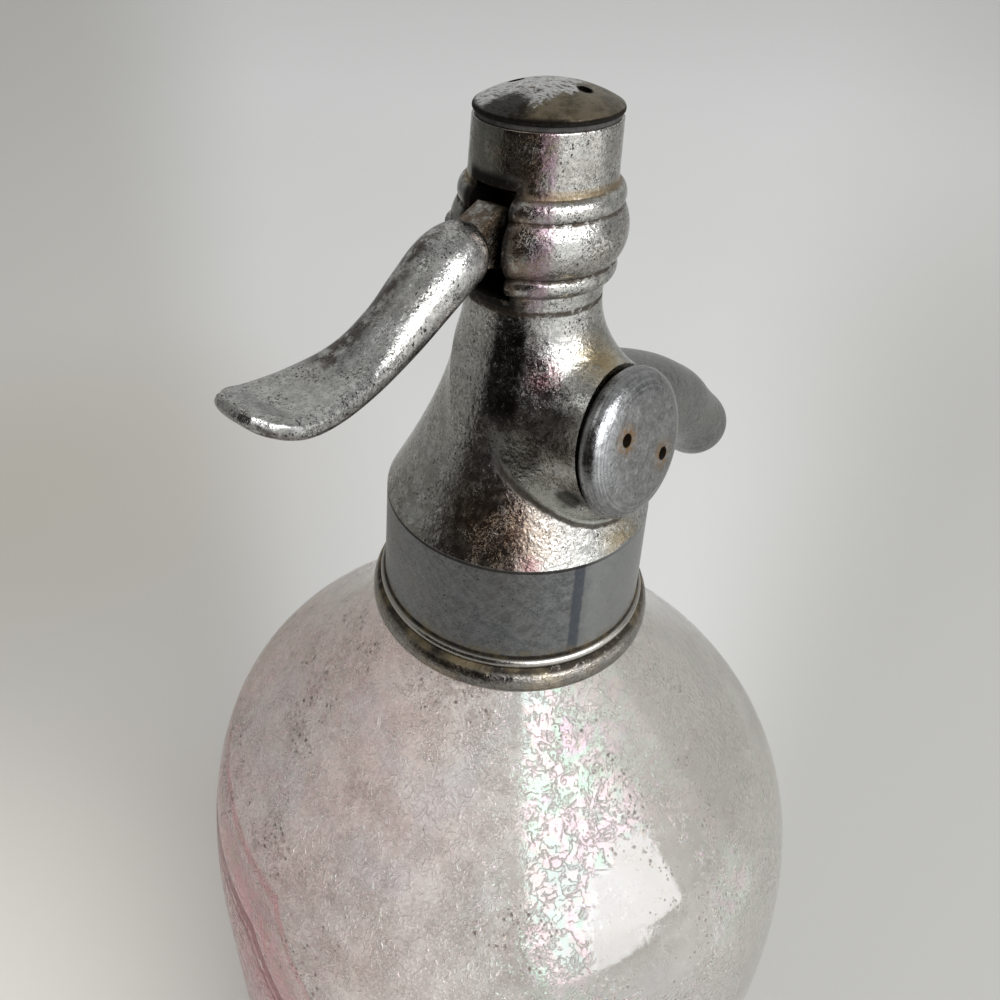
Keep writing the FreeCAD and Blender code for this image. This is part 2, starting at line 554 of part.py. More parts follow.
for sgn in (-1.0, 1.0):
    circle(s, d("cap_holes") * (sgn * math.cos(cturn)), d("cap_holes") * (sgn * math.sin(cturn)), d("cap_hole_radius"))
cap_holes = cap.newObject("PartDesign::Pocket", "cap_spanner_holes")
cap_holes.Profile = s
cap_holes.Type = 0
cap_holes.Length = 4.0
cap_holes.Reversed = True
doc.recompute()
ring("top_cap_washer", d("cap_thread") + 0.1, Q.of(8.0), up("barrel_top"), up("cap_seam"))

# --------------------------------------------------------- 12 the valve seat
revolve(body("valve_seat"), "seat_turn", [
    ("L", (d("seat_radius"), up("seat_low"))),
    ("L", (d("seat_radius"), up("seat_top"))),
    ("L", (3.3, up("seat_top"))),
    ("L", (2.6, up("seat_top") + d("seat_lip"))),
    ("L", (2.1, up("seat_top") + d("seat_lip"))),
    ("L", (2.1, up("seat_low"))),
])

# ------------------------------------- 13, 14 valve holder and its rubber disc
revolve(body("valve_holder"), "holder_turn", [
    ("L", (d("valve_radius"), up("valve_low"))),
    ("L", (d("valve_radius"), up("valve_top"))),
    ("L", (d("spindle_radius"), up("valve_top"))),
    ("L", (d("spindle_radius"), up("spindle_low"))),
    ("L", (0, up("spindle_low"))),
    ("L", (0, up("valve_low", 1.0))),
    ("L", (d("rubber_radius"), up("valve_low", 1.0))),
    ("L", (d("rubber_radius"), up("valve_low"))),
])
rubber_low = up("seat_top") + d("seat_lip") + d("seal_gap")
revolve(body("valve_rubber"), "rubber_turn", [
    ("L", (d("rubber_radius"), rubber_low)),
    ("L", (d("rubber_radius"), up("valve_low", 1.0))),
    ("L", (0, up("valve_low", 1.0))),
    ("L", (0, rubber_low)),
])

# --------------------------------- 15, 16, 17 gland packing, washer and nut
fit_r = d("spindle_radius") + d("fit_gap")
ring("gland_packing", fit_r, d("gland_radius"), up("gland_low"), up("gland_low", 3.0))
ring("gland_washer", fit_r + 0.2, d("gland_radius") - 0.1, up("gland_low", 3.0), up("gland_low", 3.8))
nut = body("gland_nut")
revolve(nut, "nut_turn", [
    ("L", (d("gland_radius"), up("gland_low", 3.8))),
    ("L", (d("gland_radius"), up("gland_top"))),
    ("L", (d("gland_radius") + 0.5, up("gland_top"))),
    ("L", (d("gland_radius") + 0.5, up("gland_top", 1.4))),
    ("L", (fit_r, up("gland_top", 1.4))),
    ("L", (fit_r, up("gland_low", 3.8))),
])
s = sketch(nut, "nut_slot_plan", "XY_Plane", FreeCAD.Placement(V(0, 0, NUM["collar_z"] + NUM["gland_top"] + 0.5), FreeCAD.Rotation()))
s.setExpression("AttachmentOffset.Base.z", "Dims.collar_z + Dims.gland_top + 0.5")
rect(s, Q.of(-7.0), Q.of(-0.6), Q.of(7.0), Q.of(0.6))
nut_slot = nut.newObject("PartDesign::Pocket", "nut_slot")
nut_slot.Profile = s
nut_slot.Type = 0
nut_slot.Length = 3.0
nut_slot.Reversed = True
doc.recompute()

# --------------------------------------------------------------- 18 spindle
spindle = body("spindle")
revolve(spindle, "spindle_turn", [
    ("L", (d("spindle_radius"), up("spindle_low"))),
    ("L", (d("spindle_radius"), up("lift_low", -0.6))),
    ("L", (d("lift_radius"), up("lift_low"))),
    ("L", (d("lift_radius"), up("lift_top"))),
    ("L", (d("stem_radius"), up("lift_top"))),
    ("L", (d("stem_radius"), up("stem_top", -0.5))),
    ("L", (d("stem_radius") - 0.5, up("stem_top"))),
    ("L", (0, up("stem_top"))),
    ("L", (0, up("spindle_low"))),
])
# the window that the lever's nose works in, open towards the lever
s = sketch(spindle, "window_side", "YZ_Plane", FreeCAD.Placement(V(0, 0, 1.2), FreeCAD.Rotation()))
rect(s, -d("window_half"), up("window_low"), d("window_half"), up("window_high"))
window = spindle.newObject("PartDesign::Pocket", "window")
window.Profile = s
window.Type = 0
window.Length = 12.0
doc.recompute()

# -------------------------------------------------- 19 spring seat, 20 spring
ring("spring_seat", d("stem_radius") + 0.05, Q.of(4.8), up("lift_top"), up("lift_top", 0.8))

spring = doc.addObject("Part::Feature", "return_spring")
spring.Label = "return_spring"
sp_low = sheet.collar_z + sheet.spring_low + sheet.spring_wire
sp_high = sheet.collar_z + sheet.spring_high - sheet.spring_wire
pitch = (sp_high - sp_low) / sheet.spring_turns
helix = Part.makeHelix(pitch, sp_high - sp_low, sheet.spring_mean)
lead = math.atan2(pitch, 2.0 * math.pi * sheet.spring_mean)
wire = Part.Wire(helix.Edges)
disc = Part.Wire(Part.makeCircle(sheet.spring_wire, V(sheet.spring_mean, 0, 0), V(0, math.cos(lead), math.sin(lead))))
coil = wire.makePipeShell([disc], True, True)
spring.Shape = coil
spring.Placement = FreeCAD.Placement(V(0, 0, sp_low), FreeCAD.Rotation())

# ------------------------------------------------------------------ 21 lever
lever = body("lever")
lever_sections = []
for i, (x, z, a, b) in enumerate(LEVER):
    j, k = max(i - 1, 0), min(i + 1, len(LEVER) - 1)
    slope = math.degrees(math.atan2(LEVER[k][1] - LEVER[j][1], LEVER[k][0] - LEVER[j][0]))
    off = FreeCAD.Placement(V(0, NUM["collar_z"] + z, -x), FreeCAD.Rotation(V(1, 0, 0), slope))
    s = sketch(lever, "lever_section_%d" % i, "YZ_Plane", off)
    key = "abcdefghijk"[i]
    s.setExpression("AttachmentOffset.Base.y", "Dims.collar_z + Dims.lever_rise_%s" % key)
    s.setExpression("AttachmentOffset.Base.z", "0 - Dims.lever_run_%s" % key)
    g = s.addGeometry(Part.Ellipse(V(a, 0, 0), V(0, b, 0), V(0, 0, 0)), False)
    s.exposeInternalGeometry(g)
    s.addConstraint(Sketcher.Constraint("Coincident", g, 3, -1, 1))
    s.addConstraint(Sketcher.Constraint("Horizontal", g + 1))
    for line, word, value in ((g + 1, "wide", a), (g + 2, "deep", b)):
        c = s.addConstraint(Sketcher.Constraint("Distance", line, 2.0 * value))
        s.setExpression("Constraints[%d]" % c, "2 * Dims.lever_%s_%s" % (word, key))
    lever_sections.append(s)
loft = lever.newObject("PartDesign::AdditiveLoft", "lever_handle")
loft.Profile = lever_sections[0]
loft.Sections = lever_sections[1:]
loft.Ruled = False
doc.recompute()
# the flat tang with the nose that lifts the spindle
s = sketch(lever, "tang_side", "XZ_Plane")
nose_z = up("pin_up")
outline(s, [
    ("L", (Q.of(-13.2), up(56.9))),
    ("L", (Q.of(-8.4), up("tang_low"))),
    ("L", (Q.of(-5.9), up(56.4))),
    ("L", (Q.of(-4.9), nose_z - d("nose_radius"))),
    ("L", (-d("nose_x") - 0.9, nose_z - d("nose_radius"))),
    ("B", (-d("nose_x") + 0.65, nose_z - d("nose_radius")), (-d("nose_x") + 0.65, nose_z + d("nose_radius")), (-d("nose_x") - 0.9, nose_z + d("nose_radius"))),
    ("L", (Q.of(-5.3), nose_z + d("nose_radius"))),
    ("L", (Q.of(-7.2), up(62.4))),
    ("L", (Q.of(-9.1), up("tang_top"))),
    ("L", (Q.of(-13.2), up(61.4))),
])
tang = lever.newObject("PartDesign::Pad", "tang")
tang.Profile = s
tang.Length = 2.0 * NUM["tang_half"]
tang.setExpression("Length", "2 * Dims.tang_half")
tang.Midplane = True
doc.recompute()
s = sketch(lever, "lever_pin_side", "XZ_Plane", FreeCAD.Placement(V(0, 0, 8.0), FreeCAD.Rotation()))
circle(s, -d("pin_x"), up("pin_up"), d("pin_radius") + d("fit_gap"))
eye = lever.newObject("PartDesign::Pocket", "pin_eye")
eye.Profile = s
eye.Type = 0
eye.Length = 16.0
doc.recompute()

# -------------------------------------------------------------- 22 lever pin
pin = body("lever_pin")
s = sketch(pin, "pin_side", "XZ_Plane", FreeCAD.Placement(V(0, 0, NUM["pin_near"]), FreeCAD.Rotation()))
s.setExpression("AttachmentOffset.Base.z", "Dims.pin_near")
circle(s, -d("pin_x"), up("pin_up"), d("pin_radius"))
pad = pin.newObject("PartDesign::Pad", "pin_pad")
pad.Profile = s
pad.Length = NUM["pin_near"] + NUM["pin_far"]
pad.setExpression("Length", "Dims.pin_near + Dims.pin_far")
pad.Reversed = True
doc.recompute()

# ----------------------------------------------------- 23 dip tube, 24 bush
tube = body("dip_tube")
revolve(tube, "tube_turn", [
    ("L", (d("tube_radius"), d("tube_low_z"))),
    ("L", (d("tube_radius"), up("tube_top"))),
    ("L", (d("tube_bore"), up("tube_top"))),
    ("L", (d("tube_bore"), d("tube_low_z"))),
])
revolve(body("tube_bush"), "bush_turn", [
    ("L", (d("stub_radius") - 0.2, up("stub_low", -1.6))),
    ("L", (d("stub_radius") - 0.2, up("stub_low"))),
    ("L", (d("stub_bore"), up("stub_low"))),
    ("L", (d("stub_bore"), up("stub_top"))),
    ("L", (d("inlet_radius"), up("stub_top"))),
    ("L", (d("inlet_radius"), up("tube_top"))),
    ("L", (d("tube_radius"), up("tube_top"))),
    ("L", (d("tube_radius"), up("stub_low", -1.6))),
])

doc.recompute()

# ------------------------------------------------------------ check and write
NODES = ["glass_bottle", "collar_ring", "neck_clamp_half_front", "neck_clamp_half_rear", "neck_gasket",
         "head_body", "spout", "side_plug", "side_plug_washer", "top_cap", "top_cap_washer", "valve_seat",
         "valve_holder", "valve_rubber", "gland_packing", "gland_washer", "gland_nut", "spindle",
         "spring_seat", "return_spring", "lever", "lever_pin", "dip_tube", "tube_bush"]
for o in doc.Objects:
    for state in o.State:
        if state in ("Invalid", "Error"):
            raise RuntimeError("%s is %s" % (o.Name, state))
# every cut has to take metal away and every addition has to add some
for o in doc.Objects:
    if not o.TypeId.startswith("PartDesign::") or not hasattr(o, "BaseFeature") or o.TypeId == "PartDesign::Body":
        continue
    if o.BaseFeature is None:
        continue
    change = o.Shape.Volume - o.BaseFeature.Shape.Volume
    cuts = o.TypeId in ("PartDesign::Pocket", "PartDesign::Groove", "PartDesign::SubtractivePipe")
    print("%-24s %s %.2f mm3" % (o.Name, "takes" if cuts else "adds", abs(change)))
    if (change > -0.5) if cuts else (change < 0.5):
        raise RuntimeError("%s changes the volume by %.3f" % (o.Name, change))
os.makedirs("parts", exist_ok=True)
for name in NODES:
    o = doc.getObject(name)
    shape = o.Shape
    if shape.isNull() or not shape.isValid():
        raise RuntimeError("bad shape: " + name)
    bb = shape.BoundBox
    print("%-24s vol %9.1f solids %d  x %.1f..%.1f y %.1f..%.1f z %.1f..%.1f" % (
        name, shape.Volume, len(shape.Solids), bb.XMin, bb.XMax, bb.YMin, bb.YMax, bb.ZMin, bb.ZMax))
for name in NODES:
    doc.getObject(name).Shape.exportStep("parts/%s.step" % name)
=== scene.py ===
import math

import bmesh
import bpy
import numpy as np
from mathutils import Matrix, Vector


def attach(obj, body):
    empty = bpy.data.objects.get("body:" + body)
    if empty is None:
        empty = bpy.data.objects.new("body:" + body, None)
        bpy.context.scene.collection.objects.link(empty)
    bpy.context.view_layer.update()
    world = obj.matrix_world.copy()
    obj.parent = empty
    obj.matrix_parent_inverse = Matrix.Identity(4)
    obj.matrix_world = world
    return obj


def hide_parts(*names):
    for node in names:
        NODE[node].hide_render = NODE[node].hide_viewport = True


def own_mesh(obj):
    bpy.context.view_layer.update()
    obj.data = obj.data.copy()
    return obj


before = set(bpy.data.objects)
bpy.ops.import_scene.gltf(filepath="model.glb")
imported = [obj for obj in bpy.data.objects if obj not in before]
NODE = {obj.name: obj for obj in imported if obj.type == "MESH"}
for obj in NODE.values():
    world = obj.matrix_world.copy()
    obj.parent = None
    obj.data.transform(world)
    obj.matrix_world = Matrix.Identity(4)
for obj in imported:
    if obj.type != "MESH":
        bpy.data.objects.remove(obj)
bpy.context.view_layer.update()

# Soda siphon: the looks. Lengths in this script are millimetres until a mesh
# is made; heights called "up" are counted from the collar, 228 mm above the
# plane that the bottle stands on.

CZ = 228.0
scene = bpy.context.scene


# ------------------------------------------------------------------ the camera
right = Vector((0.712971, -0.701140, -0.008692))
upward = Vector((0.409647, 0.406436, 0.816700))
look = Vector((0.569088, 0.585844, -0.576997))
cam_data = bpy.data.cameras.new("camera")
cam = bpy.data.objects.new("camera", cam_data)
scene.collection.objects.link(cam)
cam.matrix_world = Matrix((
    (right.x, upward.x, -look.x, -0.0795473),
    (right.y, upward.y, -look.y, -0.0586474),
    (right.z, upward.z, -look.z, 0.3241425),
    (0, 0, 0, 1)))
cam_data.sensor_width = 36.0
cam_data.lens = 31.0165
cam_data.shift_x = 0.0970
cam_data.shift_y = -0.0599
cam_data.clip_start = 0.01
cam_data.clip_end = 60.0
scene.camera = cam


# ------------------------------------------------------------- mesh making
def bezier(p0, p1, p2, p3, n):
    t = np.linspace(0.0, 1.0, n + 1)[1:, None]
    p0, p1, p2, p3 = (np.array(p, float) for p in (p0, p1, p2, p3))
    return (1 - t) ** 3 * p0 + 3 * (1 - t) ** 2 * t * p1 + 3 * (1 - t) * t * t * p2 + t ** 3 * p3


def profile(start, items):
    """Points of an outline: each item is (end, steps) or (handle, handle, end, steps)."""
    pts = [np.array([start], float)]
    for it in items:
        last = pts[-1][-1]
        if len(it) == 2:
            t = np.linspace(0.0, 1.0, it[1] + 1)[1:, None]
            pts.append(last + (np.array(it[0], float) - last) * t)
        else:
            pts.append(bezier(last, it[0], it[1], it[2], it[3]))
    return np.concatenate(pts)


def turned(pts, segments=384, closed=True):
    """Vertices and faces of a turned shape from (radius, height) points, in order
    with the outside on the right hand side of the walk upwards."""
    a = np.arange(segments) * (2 * math.pi / segments)
    rings, verts, count = [], [], 0
    for r, z in pts:
        if r < 1e-6:
            verts.append(np.array([[0.0, 0.0, z]]))
            rings.append((count, 1))
            count += 1
        else:
            verts.append(np.stack([r * np.cos(a), r * np.sin(a), np.full(segments, z)], 1))
            rings.append((count, segments))
            count += segments
    faces = []
    k = np.arange(segments)
    k2 = (k + 1) % segments
    n = len(pts)
    for i in range(n if closed else n - 1):
        (s0, m0), (s1, m1) = rings[i], rings[(i + 1) % n]
        if m0 == 1 and m1 == 1:
            continue
        if m0 == 1:
            faces += np.stack([np.full(segments, s0), s1 + k2, s1 + k], 1).tolist()
        elif m1 == 1:
            faces += np.stack([s0 + k, s0 + k2, np.full(segments, s1)], 1).tolist()
        else:
            faces += np.stack([s0 + k, s0 + k2, s1 + k2, s1 + k], 1).tolist()
    return np.concatenate(verts), faces


def mesh_of(name, verts, faces, materials, sharp=35.0, index=None):
    """A mesh object in metres from points in millimetres."""
    me = bpy.data.meshes.new(name)
    me.from_pydata((np.asarray(verts) * 0.001).tolist(), [], faces)
    me.validate()
    me.update()
    bm = bmesh.new()
    bm.from_mesh(me)
    bmesh.ops.recalc_face_normals(bm, faces=bm.faces)
    bm.to_mesh(me)
    bm.free()
    for m in materials:
        me.materials.append(m)
    if index is not None:
        me.polygons.foreach_set("material_index", np.asarray(index, np.int32))
    me.polygons.foreach_set("use_smooth", np.ones(len(me.polygons), bool))
    if sharp:
        me.set_sharp_from_angle(angle=math.radians(sharp))
    ob = bpy.data.objects.new(name, me)
    scene.collection.objects.link(ob)
    return ob


def joined(parts):
    verts, faces, off = [], [], 0
    for v, f in parts:
        verts.append(np.asarray(v, float))
        faces += [[i + off for i in face] for face in f]
        off += len(v)
    return np.concatenate(verts), faces


def box_mesh(low, high):
    (x0, y0, z0), (x1, y1, z1) = low, high
    v = [(x, y, z) for x in (x0, x1) for y in (y0, y1) for z in (z0, z1)]
    f = [(0, 1, 3, 2), (4, 6, 7, 5), (0, 4, 5, 1), (2, 3, 7, 6), (0, 2, 6, 4), (1, 5, 7, 3)]
    return np.array(v, float), [list(x) for x in f]


def cut(target, tool_mesh, name):
    """Takes the tool's solid away from the target and removes the tool."""
    tool = mesh_of(name, tool_mesh[0], tool_mesh[1], [], sharp=0)
    mod = target.modifiers.new("cut", "BOOLEAN")
    mod.operation = "DIFFERENCE"
    mod.solver = "EXACT"
    mod.object = tool
    bpy.context.view_layer.update()
    made = bpy.data.meshes.new_from_object(target.evaluated_get(bpy.context.evaluated_depsgraph_get()))
    target.modifiers.clear()
    old = target.data
    target.data = made
    bpy.data.meshes.remove(old)
    bpy.data.objects.remove(tool)
    return target


def nets(f, low, high, h, steps=5):
    """Surface of f = 0 (f < 0 inside) as quads: one vertex in each crossed cell,
    moved onto the surface."""
    ax = [np.arange(low[i], high[i] + h, h) for i in range(3)]
    gx, gy, gz = np.meshgrid(*ax, indexing="ij")
    val = f(np.stack([gx, gy, gz], -1).reshape(-1, 3)).reshape(gx.shape)
    ins = val < 0
    c = ins.astype(np.int8)
    total = sum(c[i:c.shape[0] - 1 + i, j:c.shape[1] - 1 + j, k:c.shape[2] - 1 + k]
                for i in (0, 1) for j in (0, 1) for k in (0, 1))
    mixed = (total > 0) & (total < 8)
    idx = np.full(mixed.shape, -1, np.int64)
    cells = np.argwhere(mixed)
    idx[mixed] = np.arange(len(cells))
    pts = np.stack([ax[i][cells[:, i]] + h / 2 for i in range(3)], 1)
    e = 0.02
    for _ in range(steps):
        v = f(pts)
        g = np.stack([(f(pts + d) - f(pts - d)) / (2 * e) for d in np.eye(3) * e], 1)
        move = v[:, None] * g / np.maximum((g * g).sum(1, keepdims=True), 0.2)
        far = np.linalg.norm(move, axis=1, keepdims=True)
        pts = pts - move * np.minimum(1.0, h / np.maximum(far, 1e-9))
    faces = []
    for axis in range(3):
        a = [slice(None)] * 3
        b = [slice(None)] * 3
        a[axis], b[axis] = slice(0, -1), slice(1, None)
        flip = ins[tuple(a)] != ins[tuple(b)]
        out = ins[tuple(a)]
        o1, o2 = [i for i in range(3) if i != axis]
        at = np.argwhere(flip)
        at = at[(at[:, o1] > 0) & (at[:, o2] > 0) & (at[:, o1] < mixed.shape[o1]) & (at[:, o2] < mixed.shape[o2])]
        quad = []
        for s1, s2 in ((-1, -1), (0, -1), (0, 0), (-1, 0)):
            q = at.copy()
            q[:, o1] += s1
            q[:, o2] += s2
            quad.append(idx[q[:, 0], q[:, 1], q[:, 2]])
        quad = np.stack(quad, 1)
        turn = out[at[:, 0], at[:, 1], at[:, 2]] ^ (axis == 1)
        quad[~turn] = quad[~turn][:, ::-1]
        faces += quad[(quad >= 0).all(1)].tolist()
    return pts, faces


def trim(verts, faces, planes):
    """Cuts the shell by planes (point, normal), keeps the side against the
    normal and closes each cut."""
    me = bpy.data.meshes.new("trim")
    me.from_pydata(np.asarray(verts).tolist(), [], faces)
    bm = bmesh.new()
    bm.from_mesh(me)
    bpy.data.meshes.remove(me)
    for co, no in planes:
        bmesh.ops.bisect_plane(bm, geom=bm.verts[:] + bm.edges[:] + bm.faces[:], dist=1e-5,
                               plane_co=co, plane_no=no, clear_outer=True)
        rim = [ed for ed in bm.edges if ed.is_boundary]
        if rim:
            bmesh.ops.contextual_create(bm, geom=rim)
    bmesh.ops.recalc_face_normals(bm, faces=bm.faces)
    bm.verts.index_update()
    v = np.array([x.co for x in bm.verts], float)
    f = [[x.index for x in face.verts] for face in bm.faces]
    bm.free()
    return v, f


def smin(a, b, k):
    h = np.maximum(k - np.abs(a - b), 0.0) / k
    return np.minimum(a, b) - h * h * k * 0.25


# --------------------------------------------------------------- materials
class Net:
    """One node material. Every position in it is the piece's own, in millimetres."""

    def __init__(self, name):
        self.mat = bpy.data.materials.new(name)
        self.mat.use_nodes = True
        self.t = self.mat.node_tree
        self.t.nodes.clear()
        self.out = self.t.nodes.new("ShaderNodeOutputMaterial")
        self.b = self.t.nodes.new("ShaderNodeBsdfPrincipled")
        self.t.links.new(self.b.outputs[0], self.out.inputs["Surface"])
        tc = self.t.nodes.new("ShaderNodeTexCoord")
        self.p = self.vmul(tc.outputs["Object"], 1000.0)
        s = self.t.nodes.new("ShaderNodeSeparateXYZ")
        self.t.links.new(self.p, s.inputs[0])
        self.x, self.y, self.z = s.outputs

    def put(self, sock, v):
        if isinstance(v, bpy.types.NodeSocket):
            self.t.links.new(v, sock)
        elif isinstance(v, (tuple, list)):
            v = tuple(v)
            sock.default_value = v + (1.0,) if sock.type == "RGBA" and len(v) == 3 else v
        else:
            sock.default_value = v

    def set(self, **values):
        for k, v in values.items():
            self.put(self.b.inputs[k.replace("_", " ")], v)

    def m(self, op, a, b=0.0, c=0.0, clamp=False):
        n = self.t.nodes.new("ShaderNodeMath")
        n.operation, n.use_clamp = op, clamp
        for s, v in zip(n.inputs, (a, b, c)):
            self.put(s, v)
        return n.outputs[0]

    def add(self, a, b, *more):
        r = self.m("ADD", a, b)
        for v in more:
            r = self.m("ADD", r, v)
        return r

    def sub(self, a, b):
        return self.m("SUBTRACT", a, b)

    def mul(self, a, b, *more):
        r = self.m("MULTIPLY", a, b)
        for v in more:
            r = self.m("MULTIPLY", r, v)
        return r

    def inv(self, a):
        return self.m("SUBTRACT", 1.0, a)

    def top(self, a, b, *more):
        r = self.m("MAXIMUM", a, b)
        for v in more:
            r = self.m("MAXIMUM", r, v)
        return r

    def step(self, v, a, b, lo=0.0, hi=1.0):
        """Smooth from lo at a to hi at b."""
        n = self.t.nodes.new("ShaderNodeMapRange")
        n.interpolation_type = "SMOOTHSTEP"
        for s, x in zip(n.inputs, (v, a, b, lo, hi)):
            self.put(s, x)
        return n.outputs[0]

    def band(self, v, a, b, soft):
        """1 between a and b."""
        return self.mul(self.step(v, a - soft, a), self.step(v, b + soft, b))

    def near(self, point, radius, vec=None):
        """1 at a point of the piece, 0 beyond the radius."""
        n = self.t.nodes.new("ShaderNodeVectorMath")
        n.operation = "DISTANCE"
        self.put(n.inputs[0], vec or self.p)
        self.put(n.inputs[1], point)
        return self.step(n.outputs["Value"], radius, 0.0)

    def vmul(self, v, k):
        n = self.t.nodes.new("ShaderNodeVectorMath")
        n.operation = "MULTIPLY"
        self.put(n.inputs[0], v)
        self.put(n.inputs[1], (k, k, k) if isinstance(k, (int, float)) else k)
        return n.outputs[0]

    def vadd(self, v, k):
        n = self.t.nodes.new("ShaderNodeVectorMath")
        n.operation = "ADD"
        self.put(n.inputs[0], v)
        self.put(n.inputs[1], k)
        return n.outputs[0]

    def noise(self, scale, detail=4.0, rough=0.55, vec=None, dist=0.0, seed=0.0, colour=False):
        n = self.t.nodes.new("ShaderNodeTexNoise")
        v = vec or self.p
        if seed:
            v = self.vadd(v, (seed * 17.3, seed * 9.1, seed * 5.7))
        self.put(n.inputs["Vector"], v)
        for k, x in (("Scale", scale), ("Detail", detail), ("Roughness", rough), ("Distortion", dist)):
            self.put(n.inputs[k], x)
        return n.outputs[1 if colour else 0]

    def cells(self, scale, vec=None, seed=0.0, feature="F1"):
        n = self.t.nodes.new("ShaderNodeTexVoronoi")
        n.feature = feature
        v = vec or self.p
        if seed:
            v = self.vadd(v, (seed * 11.3, seed * 7.9, seed * 3.1))
        self.put(n.inputs["Vector"], v)
        self.put(n.inputs["Scale"], scale)
        if feature == "DISTANCE_TO_EDGE":
            return n.outputs["Distance"], None
        s = self.t.nodes.new("ShaderNodeSeparateColor")
        self.t.links.new(n.outputs["Color"], s.inputs[0])
        return n.outputs["Distance"], s.outputs[0]

    def mix(self, f, a, b, mode="MIX"):
        n = self.t.nodes.new("ShaderNodeMix")
        n.data_type, n.blend_type = "RGBA", mode
        self.put(n.inputs[0], f)
        self.put(n.inputs[6], a)
        self.put(n.inputs[7], b)
        return n.outputs[2]

    def ramp(self, f, stops):
        n = self.t.nodes.new("ShaderNodeValToRGB")
        self.put(n.inputs[0], f)
        el = n.color_ramp.elements
        while len(el) < len(stops):
            el.new(0.5)
        for e, (pos, col) in zip(el, stops):
            e.position = pos
            e.color = tuple(col) + (1.0,)
        return n.outputs[0]

    def bump(self, height, normal=None, strength=1.0):
        """Height in millimetres."""
        n = self.t.nodes.new("ShaderNodeBump")
        self.put(n.inputs["Strength"], strength)
        self.put(n.inputs["Distance"], 0.001)
        self.put(n.inputs["Height"], height)
        if normal is not None:
            self.put(n.inputs["Normal"], normal)
        return n.outputs[0]

    def pits(self, scale, size, share, seed=0.0, vec=None):
        """Round pits: size is a share of the cell, share how many cells have one."""
        d, r = self.cells(scale, vec, seed)
        here = self.m("LESS_THAN", r, share)
        rad = self.mul(size, self.step(r, 0.0, 0.5, 0.45, 1.2))
        return self.mul(self.step(d, rad, self.mul(rad, 0.55)), here)


def plated(name, tone=(0.40, 0.395, 0.38), warm=0.35, pit=0.5, crinkle=0.035, gloss=(0.17, 0.32), speck=0.5,
           lines=None, extra=None):
    """Old nickel plating: mottled grey, salt and pepper wear, pits, brown film, crinkled gloss."""
    n = Net(name)
    broad = n.noise(0.12, 4.0, 0.6)
    mid = n.noise(0.75, 6.0, 0.68, seed=1)
    fine = n.noise(2.6, 4.0, 0.7, seed=2)
    tiny = n.noise(6.5, 3.0, 0.65, seed=3)
    dark = tuple(c * 0.80 for c in tone)
    pale = tuple(min(1.0, c * 1.20) for c in tone)
    col = n.mix(n.step(mid, 0.38, 0.64), dark, pale)
    film = n.mul(n.step(n.add(broad, n.mul(mid, 0.45)), 0.66, 0.92), warm)
    col = n.mix(film, col, (0.20, 0.155, 0.10))
    # salt and pepper wear of the plating, in drifts
    drift = n.step(n.noise(0.28, 4.0, 0.65, seed=6), 0.40, 0.62, 0.35, 1.0)
    grain = n.add(n.mul(fine, 0.5), n.mul(tiny, 0.5))
    salt = n.mul(n.step(grain, 0.510, 0.575), speck, drift)
    col = n.mix(salt, col, (0.040, 0.036, 0.030))
    glint = n.mul(n.step(grain, 0.470, 0.415), speck * 0.75, drift)
    col = n.mix(glint, col, tuple(min(1.0, c * 1.7) for c in tone))
    # pits, in three sizes and in clusters
    crowd = n.step(n.noise(0.30, 4.0, 0.65, seed=5), 0.42, 0.66, 0.20, 1.0)
    p1 = n.pits(0.85, 0.20, n.mul(crowd, 0.22 * pit), seed=1)
    p2 = n.pits(1.7, 0.30, n.mul(crowd, 0.55 * pit), seed=2)
    p3 = n.pits(3.2, 0.36, n.mul(crowd, 0.75 * pit), seed=3, vec=n.vmul(n.p, (1.0, 0.8, 0.55)))
    pit_mask = n.top(p1, n.mul(p2, 0.95), n.mul(p3, 0.85))
    rough = n.add(n.step(mid, 0.3, 0.7, gloss[0], gloss[1]), n.mul(salt, 0.25), n.mul(film, 0.12))
    h = n.add(n.mul(n.noise(0.85, 3.0, 0.5, seed=7), crinkle * 2.4), n.mul(n.noise(2.0, 2.0, 0.5, seed=8), crinkle * 1.5),
              n.mul(tiny, crinkle * 0.30))
    h = n.sub(h, n.add(n.mul(p1, 0.06), n.mul(p2, 0.03), n.mul(salt, crinkle * 0.35)))
    if lines is not None:
        cut_lines = n.noise(1.0, 3.0, 0.6, vec=n.vmul(n.p, lines), seed=4)
        col = n.mix(n.mul(n.step(cut_lines, 0.52, 0.64), 0.35), col, tuple(c * 0.45 for c in tone))
        h = n.add(h, n.mul(cut_lines, 0.02))
    col = n.mix(pit_mask, col, (0.014, 0.011, 0.009))
    if extra is not None:
        col, rough, h = extra(n, col, rough, h)
    n.set(Base_Color=col, Metallic=1.0, Roughness=rough, Normal=n.bump(h))
    return n.mat


# darkens where the mask is: used for real dirt and for painted shade
def dirt_and_shade(n, col, rough, mask, tint=(0.03, 0.024, 0.018), r=0.75):
    col = n.mix(mask, col, tint)
    rough = n.add(n.mul(rough, n.inv(mask)), n.mul(mask, r))
    return col, rough


PLUG_AXIS = Vector((0.0, -math.cos(math.radians(12.4)), math.sin(math.radians(12.4))))
PLUG_UP = Vector((0.0, math.sin(math.radians(12.4)), math.cos(math.radians(12.4))))


def plug_frame(n):
    """Position in the plug's own frame: across, up and along its axis."""
    q = n.vadd(n.p, (0.0, 0.0, -(CZ + 31.2)))

    def dot(v):
        d = n.t.nodes.new("ShaderNodeVectorMath")
        d.operation = "DOT_PRODUCT"
        n.put(d.inputs[0], q)
        n.put(d.inputs[1], v)
        return d.outputs["Value"]

    a, b, c = dot((1.0, 0.0, 0.0)), dot(tuple(PLUG_UP)), dot(tuple(PLUG_AXIS))
    r = n.m("SQRT", n.add(n.mul(a, a), n.mul(b, b)))
    return a, b, c, r


